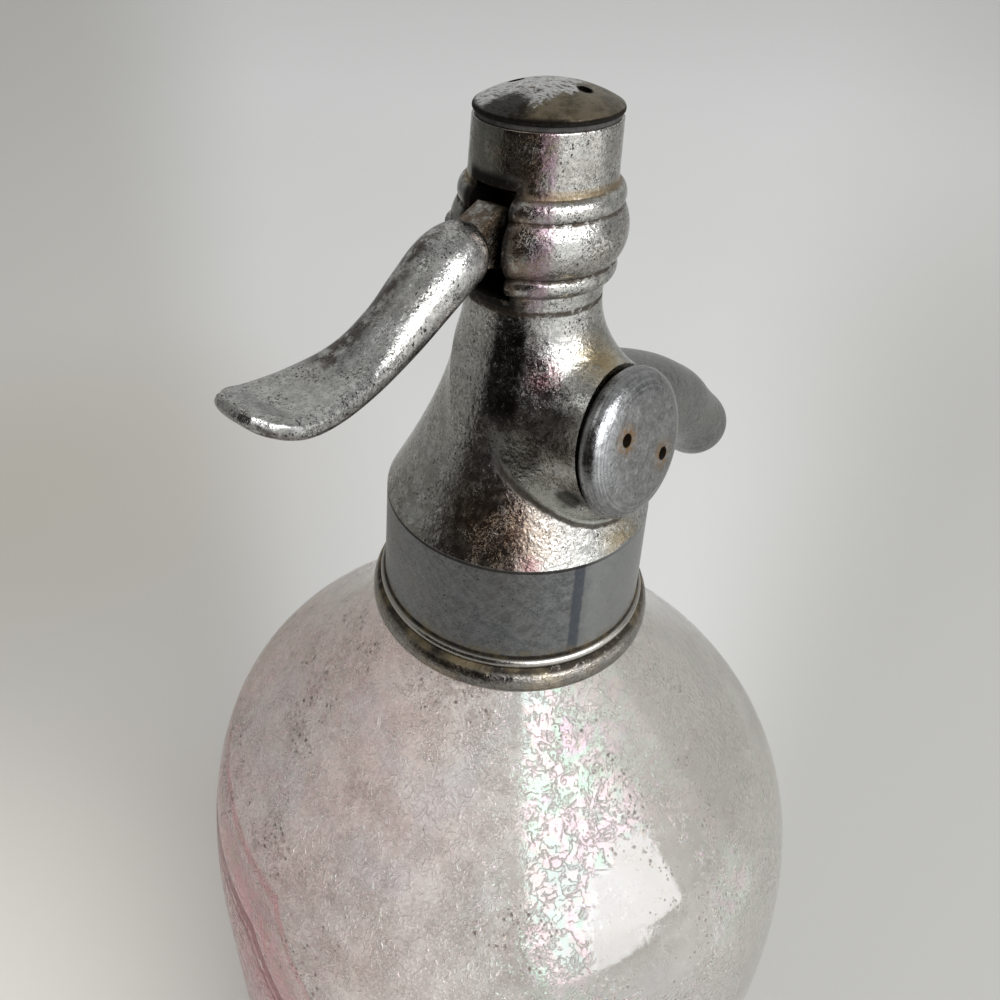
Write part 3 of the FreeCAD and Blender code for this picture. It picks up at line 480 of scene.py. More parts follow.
# head: barrel and beads above, neck, boss, dome and band
def head_extra(n, col, rough, h):
    up = n.sub(n.z, CZ)
    az = n.m("ARCTAN2", n.y, n.x)
    high = n.step(up, 49.0, 53.0)
    # painted dark reflection: dark brown on the side of barrel and beads by the slot, turned towards the camera,
    # where they mirror the dark room
    side = n.band(n.m("ARCTAN2", n.m("MULTIPLY", n.y, -1.0), n.m("MULTIPLY", n.x, -1.0)), 0.05, 0.62, 0.28)
    painted_dark_reflection = n.mul(side, n.step(mid_noise(n, 11), 0.30, 0.56))
    col = n.mix(n.mul(painted_dark_reflection, high, 0.60), col, (0.20, 0.115, 0.060))
    # painted dark reflection: darker grey on barrel and beads towards -X and +Y, on their left
    painted_dark_patch = n.mul(n.step(n.x, -4.5, -7.0), n.step(n.y, -3.4, -1.2), n.step(up, 49.0, 52.0))
    col = n.mix(n.mul(painted_dark_patch, n.step(mid_noise(n, 10), 0.25, 0.55, 0.55, 0.9)), col, (0.095, 0.095, 0.080))
    # brown patch low on the dome, left of its highlight
    low = n.near((-14.4, -8.2, CZ + 24.0), 9.5)
    low = n.mul(low, n.step(n.noise(0.35, 4.0, 0.60, seed=12), 0.24, 0.54))
    col = n.mix(n.mul(low, 0.80), col, (0.335, 0.205, 0.120))
    # darker grey in patches, low on the dome towards -X
    low_dark_patches = n.mul(n.step(n.x, -11.0, -15.0), n.step(up, 34.0, 24.0), n.step(n.noise(0.6, 5.0, 0.7, seed=18), 0.38, 0.58))
    col = n.mix(n.mul(low_dark_patches, 0.55), col, (0.13, 0.12, 0.095))
    # olive and yellow tarnish where the boss meets the neck, and beside the dome's highlight
    olive = n.top(n.near((-0.5, -11.5, CZ + 44.5), 5.6), n.mul(n.near((-0.5, -18.3, CZ + 20.5), 5.5), 0.8))
    olive = n.mul(olive, n.step(n.noise(0.6, 5.0, 0.7, seed=13), 0.28, 0.52))
    col = n.mix(n.mul(olive, 0.85), col, (0.27, 0.205, 0.095))
    # pink film on the neck and at the dome's edge
    pink = n.top(n.near((-6.9, -7.6, CZ + 43.2), 3.3), n.mul(n.near((-13.2, -12.8, CZ + 20.2), 2.6), 0.7))
    pink = n.mul(pink, n.step(n.noise(0.8, 4.0, 0.65, seed=14), 0.30, 0.55))
    col = n.mix(n.mul(pink, 0.55), col, (0.42, 0.14, 0.18))
    # painted reflection: a lilac band on barrel and beads at the turn where they mirror the rosy part of the room
    lilac = n.mul(n.band(az, -2.52, -2.38, 0.10), high, n.step(n.noise(0.8, 4.0, 0.65, seed=19), 0.32, 0.58))
    col = n.mix(n.mul(lilac, 0.45), col, (0.40, 0.26, 0.36))
    # painted dark reflection: a near-black stripe down the neck, a little glossier, where it mirrors the dark room
    painted_dark_stripe = n.mul(n.band(n.mul(az, 57.29578), -168.0, -150.0, 6.0), n.band(up, 39.0, 50.0, 3.5))
    painted_dark_stripe = n.mul(painted_dark_stripe, n.step(n.noise(1.6, 4.0, 0.7, seed=28), 0.66, 0.54))
    col = n.mix(n.mul(painted_dark_stripe, 0.85), col, (0.030, 0.030, 0.030))
    rough = n.sub(rough, n.mul(painted_dark_stripe, 0.08))
    # darker patches on the wall of the boss
    wall = n.near((-9.3, -11.0, CZ + 34.0), 8.0)
    col = n.mix(n.mul(wall, n.step(mid_noise(n, 20), 0.34, 0.60), 0.55), col, (0.20, 0.165, 0.125))
    # painted shade: a near-black crescent under the boss
    painted_shade_under_boss = n.near((-8.0, -13.9, CZ + 29.0), 3.0)
    col = n.mix(n.mul(n.step(painted_shade_under_boss, 0.15, 0.6), 0.85), col, (0.03, 0.028, 0.021))
    a, b, c, r = plug_frame(n)
    # painted shadow: a thin dark line under the boss's lip where it overhangs the dome
    under_lip = n.mul(n.step(b, 5.0, 1.0), n.step(a, 4.0, -1.0), n.step(c, 4.0, 6.0))
    line = n.mul(n.band(n.add(r, n.mul(n.sub(n.noise(0.9, 3.0, 0.6, seed=24), 0.5), 0.6)), 11.35, 11.75, 0.35), under_lip)
    col, rough = dirt_and_shade(n, col, rough, n.mul(line, 0.85), (0.03, 0.022, 0.015))
    lip = n.mul(n.band(r, 10.2, 10.95, 0.5), under_lip, n.step(mid_noise(n, 26), 0.25, 0.55))
    col = n.mix(n.mul(lip, 0.55), col, (0.44, 0.455, 0.41))
    # grime in the grooves of the beads
    wob = n.mul(n.sub(n.noise(1.3, 4.0, 0.7, seed=9), 0.5), 0.7)
    zu = n.add(up, wob)
    groove = n.top(n.band(zu, 50.3, 50.7, 0.30), n.band(zu, 52.6, 52.75, 0.22), n.band(zu, 54.95, 55.2, 0.26),
                   n.band(zu, 61.55, 61.8, 0.26), n.mul(n.band(zu, 64.1, 64.4, 0.35), 0.7))
    groove = n.mul(groove, n.step(n.noise(1.1, 4.0, 0.7, seed=15), 0.32, 0.50))
    col, rough = dirt_and_shade(n, col, rough, n.mul(groove, 0.85), (0.045, 0.03, 0.018))
    straw = n.mul(n.band(zu, 64.2, 64.8, 0.4), n.step(az, -2.9, -2.4))
    col = n.mix(n.mul(straw, 0.45), col, (0.27, 0.19, 0.085))
    # painted shade: near black in the bore and inside the slot, and in broken patches about the slot
    slot = n.mul(n.step(n.x, -5.6, -7.4), n.band(n.y, -3.1, 3.6, 1.1), n.band(up, 51.2, 65.6, 1.1))
    slot = n.mul(slot, n.step(n.noise(1.1, 4.0, 0.65, seed=17), 0.26, 0.46))
    painted_shade_inside = n.mul(n.step(n.m("SQRT", n.add(n.mul(n.x, n.x), n.mul(n.y, n.y))), 8.0, 7.6), n.step(up, 50.2, 50.6))
    painted_shade_inside = n.top(painted_shade_inside, n.mul(n.step(n.m("ABSOLUTE", n.y), 3.0, 2.8), n.step(n.x, -4.0, -5.0), n.band(up, 51.95, 64.75, 0.1)))
    col, rough = dirt_and_shade(n, col, rough, n.top(n.mul(slot, 0.9), painted_shade_inside), (0.010, 0.008, 0.007), 0.85)
    return col, rough, h


def mid_noise(n, seed):
    return n.noise(0.42, 4.0, 0.62, seed=seed)


mat_head = plated("head_plating", tone=(0.40, 0.40, 0.385), warm=0.30, pit=0.9, crinkle=0.036, gloss=(0.12, 0.26),
                  speck=0.85, extra=head_extra)


def band_extra(n, col, rough, h):
    up = n.sub(n.z, CZ)
    # fine cross hatching left by polishing
    a = n.noise(1.0, 2.0, 0.6, vec=n.vmul(n.vadd(n.p, (0, 0, 0)), (1.1, 1.1, 5.5)), seed=21)
    lift = n.add(n.mul(n.z, 0.7), n.mul(n.m("ARCTAN2", n.y, n.x), 13.0))
    fall = n.sub(n.mul(n.z, 0.7), n.mul(n.m("ARCTAN2", n.y, n.x), 13.0))
    comb = n.t.nodes.new("ShaderNodeCombineXYZ")
    n.put(comb.inputs[0], n.mul(lift, 3.2))
    n.put(comb.inputs[1], n.mul(fall, 0.45))
    cross1 = n.noise(1.0, 3.0, 0.65, vec=comb.outputs[0], seed=22)
    comb2 = n.t.nodes.new("ShaderNodeCombineXYZ")
    n.put(comb2.inputs[0], n.mul(lift, 0.45))
    n.put(comb2.inputs[1], n.mul(fall, 3.2))
    cross2 = n.noise(1.0, 3.0, 0.65, vec=comb2.outputs[0], seed=23)
    hatch = n.add(n.mul(cross1, 0.4), n.mul(cross2, 0.35), n.mul(a, 0.25))
    col = n.mix(n.mul(n.step(hatch, 0.50, 0.60), 0.40), col, (0.10, 0.105, 0.11))
    col = n.mix(n.mul(n.step(hatch, 0.48, 0.38), 0.35), col, (0.30, 0.31, 0.32))
    h = n.add(h, n.mul(hatch, 0.03))
    turn = n.add(n.mul(n.m("ARCTAN2", n.y, n.x), 57.29578), n.mul(n.sub(n.noise(0.8, 3.0, 0.6, seed=27), 0.5), 2.0))
    # painted reflection: lighter where the band turns towards the window, and a dark blue-grey line just before that
    col = n.mix(n.mul(n.step(turn, -118.0, -104.0), n.step(turn, -30.0, -60.0), 0.75), col, (0.30, 0.31, 0.31))
    col = n.mix(n.mul(n.band(turn, -116.0, -112.5, 1.2), 0.75), col, (0.055, 0.065, 0.085))
    groove = n.band(up, 4.15, 4.5, 0.28)
    col, rough = dirt_and_shade(n, col, rough, n.mul(groove, 0.9))
    bead = n.step(up, 4.15, 3.9)
    col = n.mix(n.mul(bead, 0.7), col, (0.46, 0.44, 0.40))
    rough = n.sub(rough, n.mul(bead, 0.12))
    specks = n.mul(n.pits(1.3, 0.26, n.step(n.x, -8.0, -16.0, 0.02, 0.28), seed=9), n.inv(bead))
    col, rough = dirt_and_shade(n, col, rough, n.mul(specks, 0.9))
    gold = n.mul(n.band(up, 4.4, 5.2, 0.7), n.step(n.noise(0.5, 5.0, 0.7, seed=16), 0.42, 0.62))
    col = n.mix(n.mul(gold, 0.55), col, (0.22, 0.17, 0.09))
    edge = n.mul(n.band(up, 19.35, 19.6, 0.22), n.step(n.x, 2.0, -8.0, 0.15, 0.8))
    col, rough = dirt_and_shade(n, col, rough, edge)
    return col, rough, h


mat_band = plated("band_plating", tone=(0.165, 0.172, 0.176), warm=0.15, pit=0.5, crinkle=0.014, gloss=(0.26, 0.40),
                  speck=0.45, extra=band_extra)


def lever_extra(n, col, rough, h):
    # long scratches along the handle, black pits on the thumb end
    s1, r1 = n.cells(1.0, vec=n.vmul(n.p, (0.50, 2.6, 0.75)), seed=31)
    s2, r2 = n.cells(1.0, vec=n.vmul(n.vadd(n.p, n.vmul(n.p, (0.0, 0.5, 0.0))), (1.3, 0.55, 1.3)), seed=33)
    scratch = n.top(n.mul(n.step(s1, 0.20, 0.12), n.m("LESS_THAN", r1, 0.16)), n.mul(n.step(s2, 0.13, 0.07), n.m("LESS_THAN", r2, 0.10)))
    col, rough = dirt_and_shade(n, col, rough, n.mul(scratch, 0.9))
    h = n.sub(h, n.mul(scratch, 0.03))
    # black, worn rim of the thumb end
    rim = n.mul(n.step(n.x, -40.5, -43.6), n.step(n.noise(0.8, 4.0, 0.65, seed=33), 0.34, 0.56))
    rim = n.mul(rim, n.step(n.sub(n.z, CZ), 52.6, 51.2))
    col, rough = dirt_and_shade(n, col, rough, n.mul(rim, 0.85), (0.035, 0.028, 0.02), 0.6)
    # painted shade: dark brown blotches on the flank towards +Y, the side turned from the window; brown film on the
    # tang
    up = n.sub(n.z, CZ)
    painted_shade_flank = n.mul(n.band(n.x, -31.0, -13.5, 4.0), n.step(n.y, -0.9, 0.9), n.step(n.noise(0.55, 5.0, 0.7, seed=34), 0.40, 0.56))
    col = n.mix(n.mul(painted_shade_flank, 0.85), col, (0.045, 0.032, 0.024))
    tang = n.mul(n.step(n.x, -13.4, -12.0), n.step(n.noise(0.6, 4.0, 0.65, seed=35), 0.30, 0.54))
    col = n.mix(n.mul(tang, 0.9), col, (0.085, 0.058, 0.034))
    # painted shade: the part of the tang inside the slot is dark
    inner = n.step(n.x, -9.6, -8.2)
    col, rough = dirt_and_shade(n, col, rough, n.mul(inner, 0.8), (0.05, 0.036, 0.024))
    hole = n.near((-38.2, 0.9, CZ + 52.1), 0.75)
    col, rough = dirt_and_shade(n, col, rough, n.step(hole, 0.25, 0.55))
    return col, rough, h


mat_lever = plated("lever_plating", tone=(0.37, 0.37, 0.36), warm=0.2, pit=1.25, crinkle=0.034, gloss=(0.15, 0.30),
                   speck=0.8, extra=lever_extra)


def collar_extra(n, col, rough, h):
    up = n.sub(n.z, CZ)
    turn = n.noise(1.0, 3.0, 0.6, vec=n.vmul(n.p, (0.35, 0.35, 5.0)), seed=41)
    col = n.mix(n.mul(n.step(turn, 0.5, 0.66), 0.5), col, (0.10, 0.08, 0.055))
    # grime and painted shade at the top and bottom edges, where the collar meets the head above and the glass below
    grime_and_shade = n.top(n.step(up, 1.75, 2.35), n.step(up, -0.9, -1.6))
    grime_and_shade = n.mul(grime_and_shade, n.step(n.noise(1.0, 4.0, 0.7, seed=42), 0.26, 0.48))
    col, rough = dirt_and_shade(n, col, rough, n.mul(grime_and_shade, 0.9))
    gold = n.step(n.noise(0.16, 3.0, 0.5, seed=43), 0.44, 0.62)
    col = n.mix(n.mul(gold, 0.45), col, (0.40, 0.32, 0.19))
    return col, rough, n.add(h, n.mul(turn, 0.03))


mat_collar = plated("collar_plating", tone=(0.25, 0.24, 0.225), warm=0.35, pit=0.8, crinkle=0.040, gloss=(0.13, 0.26),
                    speck=0.7, extra=collar_extra)


def spout_extra(n, col, rough, h):
    cloud = n.noise(0.9, 5.0, 0.7, seed=51)
    col = n.mix(n.mul(n.step(cloud, 0.44, 0.62), 0.5), col, (0.16, 0.165, 0.165))
    col = n.mix(n.mul(n.step(cloud, 0.44, 0.30), 0.5), col, (0.30, 0.30, 0.29))
    return col, rough, h


mat_spout = plated("spout_plating", tone=(0.205, 0.21, 0.205), warm=0.15, pit=0.9, crinkle=0.045, gloss=(0.22, 0.36),
                   speck=0.45, extra=spout_extra)

def plug_extra(n, col, rough, h):
    a, b, c, r = plug_frame(n)
    comb = n.t.nodes.new("ShaderNodeCombineXYZ")
    n.put(comb.inputs[0], n.mul(r, 6.0))
    n.put(comb.inputs[1], n.mul(n.m("ABSOLUTE", n.m("ARCTAN2", b, a)), 1.1))
    n.put(comb.inputs[2], n.mul(c, 4.2))
    rings = n.noise(1.0, 3.0, 0.65, vec=comb.outputs[0], seed=61)
    face = n.step(r, 8.9, 7.6)
    outer = n.step(r, 6.4, 7.4)
    col = n.mix(n.mul(n.step(rings, 0.50, 0.60), n.mul(outer, 0.45)), col, (0.13, 0.13, 0.135))
    col = n.mix(n.mul(n.step(rings, 0.48, 0.38), n.mul(outer, 0.40)), col, (0.50, 0.50, 0.51))
    # matt, cast looking middle with a shallow turned step
    middle = n.mul(n.step(r, 6.3, 5.4), face)
    cast = n.noise(1.6, 4.0, 0.7, seed=62)
    col = n.mix(n.mul(middle, n.step(cast, 0.40, 0.62), 0.55), col, (0.12, 0.115, 0.10))
    rough = n.add(rough, n.mul(middle, 0.12))
    h = n.add(h, n.mul(rings, 0.012), n.mul(middle, n.mul(cast, 0.05)))
    # brown corrosion about the spanner holes
    t = math.radians(-35.0)
    for s in (-1.0, 1.0):
        ha, hb = s * 4.5 * math.cos(t), s * 4.5 * math.sin(t)
        da, db = n.sub(a, ha), n.sub(b, hb)
        dist = n.m("SQRT", n.add(n.mul(da, da), n.mul(db, db)))
        rust = n.mul(n.step(dist, 2.6, 0.9), n.step(n.noise(1.3, 3.0, 0.6, seed=63), 0.36, 0.54))
        col = n.mix(n.mul(rust, 0.8), col, (0.24, 0.14, 0.055))
        col, rough = dirt_and_shade(n, col, rough, n.step(dist, 0.98, 0.8), (0.012, 0.010, 0.008), 0.9)
    back = n.mul(n.step(c, 16.6, 16.1), n.step(n.noise(0.8, 3.0, 0.6, seed=64), 0.30, 0.5))
    col, rough = dirt_and_shade(n, col, rough, n.mul(back, 0.8))
    return col, rough, h


mat_plug = plated("plug_plating", tone=(0.25, 0.255, 0.26), warm=0.08, pit=0.6, crinkle=0.024, gloss=(0.18, 0.32),
                  speck=0.45, extra=plug_extra)


def cap_extra(n, col, rough, h):
    up = n.sub(n.z, CZ)
    on_top = n.step(up, 71.7, 72.1)
    # across and back over the cap, turned so that the worn half is towards +X and -Y
    across = n.add(n.mul(n.x, 0.713), n.mul(n.y, -0.701))
    back = n.add(n.mul(n.x, 0.697), n.mul(n.y, 0.717))
    rag = n.add(n.mul(n.sub(n.noise(0.50, 5.0, 0.68, seed=71), 0.5), 9.0), n.mul(n.sub(n.noise(2.2, 4.0, 0.7, seed=72), 0.5), 4.0))
    left = n.step(n.add(across, rag), 3.4, 2.6)
    rear = n.step(n.add(back, n.mul(rag, 0.7), n.mul(across, 0.25)), 3.6, 2.8)
    front = n.step(n.add(back, n.mul(rag, 0.6), n.mul(across, -0.45)), -4.6, -3.8)
    patch = n.mul(left, rear, front)
    streak = n.noise(1.0, 4.0, 0.7, vec=n.vadd(n.vmul(n.p, (3.2, 0.9, 1.0)), (0.0, 0.0, 0.0)), seed=78)
    patch = n.mul(patch, n.step(streak, 0.60, 0.54))
    bare = n.mul(n.inv(patch), on_top)
    olive = n.mix(n.step(n.noise(0.45, 5.0, 0.68, seed=73), 0.35, 0.62), (0.060, 0.048, 0.028), (0.150, 0.125, 0.085))
    rusty = n.mix(n.step(n.noise(0.7, 5.0, 0.7, seed=74), 0.36, 0.62), (0.15, 0.075, 0.028), (0.05, 0.034, 0.020))
    olive = n.mix(n.mul(n.step(back, 0.6, 3.4), n.step(across, 4.0, 0.0), 0.9), olive, rusty)
    col = n.mix(n.mul(n.inv(bare), on_top, 0.45), col, (0.55, 0.55, 0.56))
    col = n.mix(bare, col, olive)
    rough = n.add(n.mul(rough, n.inv(n.mul(bare, 0.5))), n.mul(bare, 0.20))
    soot = n.mul(n.step(n.add(across, n.mul(rag, 0.5)), -1.5, -4.0), n.step(n.add(back, n.mul(rag, 0.4)), -1.4, -3.4))
    soot = n.top(soot, n.mul(n.step(n.m("SQRT", n.add(n.mul(n.x, n.x), n.mul(n.y, n.y))), 7.7, 8.2), n.step(n.add(across, n.mul(rag, 0.8)), 3.0, 0.0)))
    soot = n.mul(soot, on_top)
    col, rough = dirt_and_shade(n, col, rough, n.mul(soot, 0.92), (0.014, 0.012, 0.010), 0.7)
    edge = n.mul(n.step(n.add(up, n.mul(rag, 0.02)), 72.2, 72.0), 0.97)
    col, rough = dirt_and_shade(n, col, rough, edge, (0.012, 0.010, 0.008), 0.8)
    for s in (-1.0, 1.0):
        t = math.radians(-78.0)
        spot = n.near((s * 4.0 * math.cos(t), s * 4.0 * math.sin(t), CZ + 73.6), 1.7)
        col, rough = dirt_and_shade(n, col, rough, n.step(spot, 0.30, 0.55), (0.008, 0.007, 0.006), 0.85)
    h = n.add(h, n.mul(n.noise(1.3, 5.0, 0.68, seed=77), 0.16), n.mul(patch, 0.05))
    return col, rough, h


mat_cap = plated("cap_plating", tone=(0.50, 0.50, 0.50), warm=0.1, pit=0.9, crinkle=0.04, gloss=(0.26, 0.40),
                 speck=0.9, extra=cap_extra)


def brass(name, tone):
    n = Net(name)
    a = n.noise(0.4, 4.0, 0.6)
    turn = n.noise(1.0, 3.0, 0.6, vec=n.vmul(n.p, (0.3, 0.3, 6.0)), seed=2)
    col = n.mix(n.step(a, 0.38, 0.66), tone, tuple(c * 0.55 for c in tone))
    col = n.mix(n.mul(n.step(turn, 0.5, 0.68), 0.4), col, tuple(c * 0.4 for c in tone))
    spots = n.pits(1.6, 0.3, 0.22)
    col = n.mix(spots, col, (0.05, 0.04, 0.02))
    n.set(Base_Color=col, Metallic=1.0, Roughness=n.step(a, 0.3, 0.7, 0.32, 0.55),
          Normal=n.bump(n.add(n.mul(turn, 0.02), n.mul(a, 0.03))))
    return n.mat


def steel(name, tone, stretch):
    n = Net(name)
    a = n.noise(0.8, 4.0, 0.6)
    draw = n.noise(1.0, 3.0, 0.6, vec=n.vmul(n.p, stretch), seed=3)
    col = n.mix(n.step(draw, 0.4, 0.66), tone, tuple(c * 0.55 for c in tone))
    col = n.mix(n.mul(n.step(a, 0.55, 0.72), 0.7), col, (0.16, 0.09, 0.045))
    n.set(Base_Color=col, Metallic=1.0, Roughness=n.step(a, 0.3, 0.7, 0.28, 0.5), Normal=n.bump(n.mul(draw, 0.01)))
    return n.mat


def rubber(name):
    n = Net(name)
    a, b = n.noise(0.7, 4.0, 0.6), n.noise(5.0, 3.0, 0.6, seed=2)
    col = n.mix(n.step(a, 0.4, 0.7), (0.028, 0.027, 0.026), (0.06, 0.056, 0.05))
    n.set(Base_Color=col, Roughness=n.step(b, 0.3, 0.7, 0.62, 0.85), Normal=n.bump(n.mul(b, 0.03)))
    return n.mat


def packing(name):
    n = Net(name)
    braid = n.noise(1.0, 3.0, 0.6, vec=n.vmul(n.p, (2.0, 2.0, 5.0)), seed=2)
    col = n.mix(n.step(braid, 0.4, 0.65), (0.36, 0.30, 0.19), (0.16, 0.12, 0.07))
    n.set(Base_Color=col, Roughness=n.step(braid, 0.3, 0.7, 0.7, 0.9), Normal=n.bump(n.mul(braid, 0.08)))
    return n.mat


mat_clamp = brass("clamp_brass", (0.50, 0.38, 0.19))
mat_inner = brass("inner_brass", (0.56, 0.43, 0.22))
mat_pin = steel("pin_steel", (0.36, 0.35, 0.34), (6.0, 0.4, 6.0))
mat_wire = steel("spring_wire", (0.46, 0.46, 0.46), (3.0, 3.0, 3.0))
mat_rubber = rubber("black_rubber")
mat_packing = packing("waxed_packing")


# ------------------------------------------------------------- the glass
def worms(n, scale, seed, width=0.05):
    """Curling raised lines, as etched by old washing."""
    bend = n.noise(scale * 1.1, 2.0, 0.5, seed=seed + 0.5, colour=True)
    w = n.vadd(n.p, n.vmul(n.vadd(bend, (-0.5, -0.5, -0.5)), 2.4 / scale))
    v = n.noise(scale, 1.0, 0.3, vec=w, seed=seed)
    broken = n.step(n.noise(scale * 1.3, 2.0, 0.5, seed=seed + 0.8), 0.44, 0.52)
    return n.mul(n.step(n.m("ABSOLUTE", n.sub(v, 0.5)), width, 0.0), broken)


def bottle_outside():
    n = Net("bottle_glass_outside")
    az = n.m("ARCTAN2", n.y, n.x)
    deg = n.m("MULTIPLY", az, 57.29578)
    broad = n.noise(0.035, 4.0, 0.55, seed=81)
    mid = n.noise(0.17, 6.0, 0.68, seed=82)
    fine = n.noise(0.8, 5.0, 0.72, seed=83)
    grain = n.noise(2.6, 3.0, 0.68, seed=84)
    left = n.top(n.step(deg, -118.0, -150.0), n.step(deg, 40.0, 120.0))
    # where the surface is etched: the shoulder, less below
    etched = n.mul(n.step(n.add(mid, n.mul(broad, 0.4)), 0.52, 0.80, 0.45, 1.0), n.step(n.z, 30.0, 90.0, 0.35, 1.0))
    clean = n.near((-12.0, -38.5, 198.0), 19.0)
    clean = n.step(n.add(clean, n.mul(n.sub(n.noise(0.22, 4.0, 0.65, seed=80), 0.5), 0.8)), 0.30, 0.46)
    right = n.mul(n.step(deg, -101.0, -88.0), n.step(deg, 60.0, 0.0))
    still = clean
    line = n.top(worms(n, 0.34, 85), n.mul(worms(n, 0.6, 87, 0.06), 0.8))
    lines = n.mul(line, n.inv(still), n.sub(1.0, n.mul(right, 0.7)))
    # haze of scale and bloom
    haze = n.add(0.10, n.mul(n.step(n.add(n.mul(mid, 0.45), n.mul(fine, 0.55)), 0.38, 0.66), 0.11),
                 n.mul(n.step(grain, 0.48, 0.62), 0.10))
    haze = n.mul(haze, n.step(n.z, 20.0, 120.0, 0.55, 1.0))
    haze = n.mul(haze, n.sub(1.0, n.mul(n.inv(left), 0.35)), n.sub(1.0, n.mul(right, 0.30)))
    haze = n.add(haze, n.mul(left, n.add(0.13, n.mul(n.step(mid, 0.36, 0.62), 0.08))))
    flakes = n.mul(n.step(n.noise(0.30, 5.0, 0.72, seed=96), 0.585, 0.62), n.step(left, 0.2, 0.8, 0.25, 1.0))
    # brown and grey crumbs of old dirt, crowded together in places
    crowd = n.step(n.noise(0.085, 5.0, 0.70, seed=88), 0.47, 0.60)
    crumbs = n.top(n.pits(0.50, 0.27, n.add(0.004, n.mul(crowd, left, 0.40)), seed=5),
                   n.pits(1.1, 0.34, n.add(0.02, n.mul(crowd, 0.60)), seed=6),
                   n.mul(n.pits(2.2, 0.36, n.add(0.03, n.mul(crowd, 0.50)), seed=7), 0.9))
    smudge = n.mul(crowd, n.step(n.noise(0.9, 5.0, 0.75, seed=97), 0.46, 0.58), n.step(left, 0.0, 1.0, 0.35, 1.0))
    col = n.mix(n.step(mid, 0.36, 0.64), (0.925, 0.885, 0.845), (0.965, 0.945, 0.915))
    pink = n.mul(n.top(n.step(deg, -126.0, -172.0), n.step(deg, 20.0, 120.0)), n.step(broad, 0.34, 0.60, 0.5, 1.0))
    col = n.mix(n.mul(pink, 0.95), col, (0.99, 0.835, 0.78))
    lilac = n.mul(n.step(n.noise(0.07, 2.0, 0.5, seed=89), 0.54, 0.66), n.inv(right))
    col = n.mix(n.mul(lilac, 0.4), col, (0.885, 0.865, 0.93))
    lw = n.t.nodes.new("ShaderNodeLayerWeight")
    lw.inputs["Blend"].default_value = 0.5
    # painted shade: the glass darker towards its outline, seen edge on, and darker still at the right
    rim = n.step(lw.outputs["Facing"], 0.62, 0.97)
    col = n.mix(n.mul(rim, 0.75), col, (0.74, 0.705, 0.645))
    col = n.mix(n.mul(rim, right, 0.85), col, (0.56, 0.53, 0.475))
    shade = n.mul(n.step(deg, -108.0, -78.0), n.step(deg, 75.0, 50.0))
    col = n.mix(n.mul(shade, 0.9), col, (0.835, 0.815, 0.770))
    # the fired-on panel: a plain field with cut corners and a border line about it
    a2 = n.m("WRAP", n.sub(deg, 130.0), 180.0, -180.0)
    arc = n.m("ABSOLUTE", n.mul(a2, 0.9163))           # millimetres round the bottle from its middle
    down = n.m("ABSOLUTE", n.sub(n.z, 112.0))
    qx, qy = n.sub(arc, 66.6), n.sub(down, 80.5)
    field = n.m("MAXIMUM", qx, qy)
    corner = n.mul(n.add(qx, qy, 24.0), 0.7071)
    field = n.m("MAXIMUM", field, corner)              # millimetres outside the field's edge
    worn = n.noise(0.8, 5.0, 0.7, seed=91)
    field_w = n.add(field, n.mul(n.sub(worn, 0.5), 0.45))
    border = n.mul(n.band(field_w, -11.4, -9.6, 0.25), n.step(worn, 0.74, 0.66))
    hair = n.mul(n.band(field_w, -13.6, -13.0, 0.20), n.step(worn, 0.68, 0.60), 0.8)
    wash = n.mul(n.step(field_w, -11.2, -11.8), n.step(worn, 0.78, 0.62))
    wash = n.mul(wash, n.step(n.noise(0.22, 5.0, 0.65, seed=92), 0.30, 0.62, 0.70, 1.0))
    bleed = n.mul(n.step(field, 1.5, -6.0), n.step(n.add(mid, n.mul(fine, 0.3)), 0.36, 0.72, 0.35, 1.0))
    bleed = n.top(bleed, n.mul(n.band(field, -0.6, 0.2, 0.8), 0.7), n.mul(n.step(field, -5.0, -10.0), 0.9))
    col = n.mix(n.mul(bleed, 0.80), col, (0.80, 0.26, 0.30))
    col = n.mix(n.mul(wash, 0.95), col, (0.32, 0.012, 0.036))
    ink = n.top(border, hair)
    col = n.mix(ink, col, (0.20, 0.006, 0.018))
    col = n.mix(n.mul(flakes, 0.3), col, (0.90, 0.86, 0.82))
    col = n.mix(n.mul(smudge, 0.55), col, (0.50, 0.39, 0.35))
    col = n.mix(n.mul(crumbs, 0.92), col, (0.105, 0.070, 0.055))
    opaque = n.top(haze, n.mul(ink, 0.96), n.mul(wash, 0.82), n.mul(crumbs, 0.9))
    opaque = n.top(opaque, n.mul(flakes, 0.10), n.mul(smudge, 0.30), n.mul(bleed, 0.42))
    clear = n.m("SUBTRACT", 1.0, opaque, clamp=True)
    rough = n.add(0.012, n.mul(etched, n.inv(still), 0.02), n.mul(ink, 0.25), n.mul(wash, 0.12), n.mul(crumbs, 0.4))
    rough = n.add(rough, n.mul(right, 0.02))
    h = n.add(n.mul(n.noise(0.09, 2.0, 0.5, seed=93), 0.03), n.mul(fine, n.mul(etched, n.inv(still), 0.020)),
              n.mul(grain, n.mul(etched, n.inv(n.mul(clean, 0.6)), 0.012)))
    h = n.add(h, n.mul(lines, 0.125), n.mul(ink, 0.06), n.mul(wash, 0.04), n.mul(flakes, 0.02))
    h = n.add(h, n.mul(crumbs, 0.05))
    # a thin film of scale that shows colours in the window's reflection
    tint = n.noise(0.13, 3.0, 0.55, seed=95)
    thick = n.mul(n.inv(still), n.inv(wash), n.add(120.0, n.mul(tint, 980.0), n.mul(fine, 60.0)))
    n.set(Base_Color=col, Roughness=rough, Transmission_Weight=clear, Normal=n.bump(h))
    n.b.inputs["IOR"].default_value = 1.52
    n.b.inputs["Specular IOR Level"].default_value = 0.7
    n.b.inputs["Thin Film IOR"].default_value = 1.66
    n.put(n.b.inputs["Thin Film Thickness"], thick)
    return n.mat


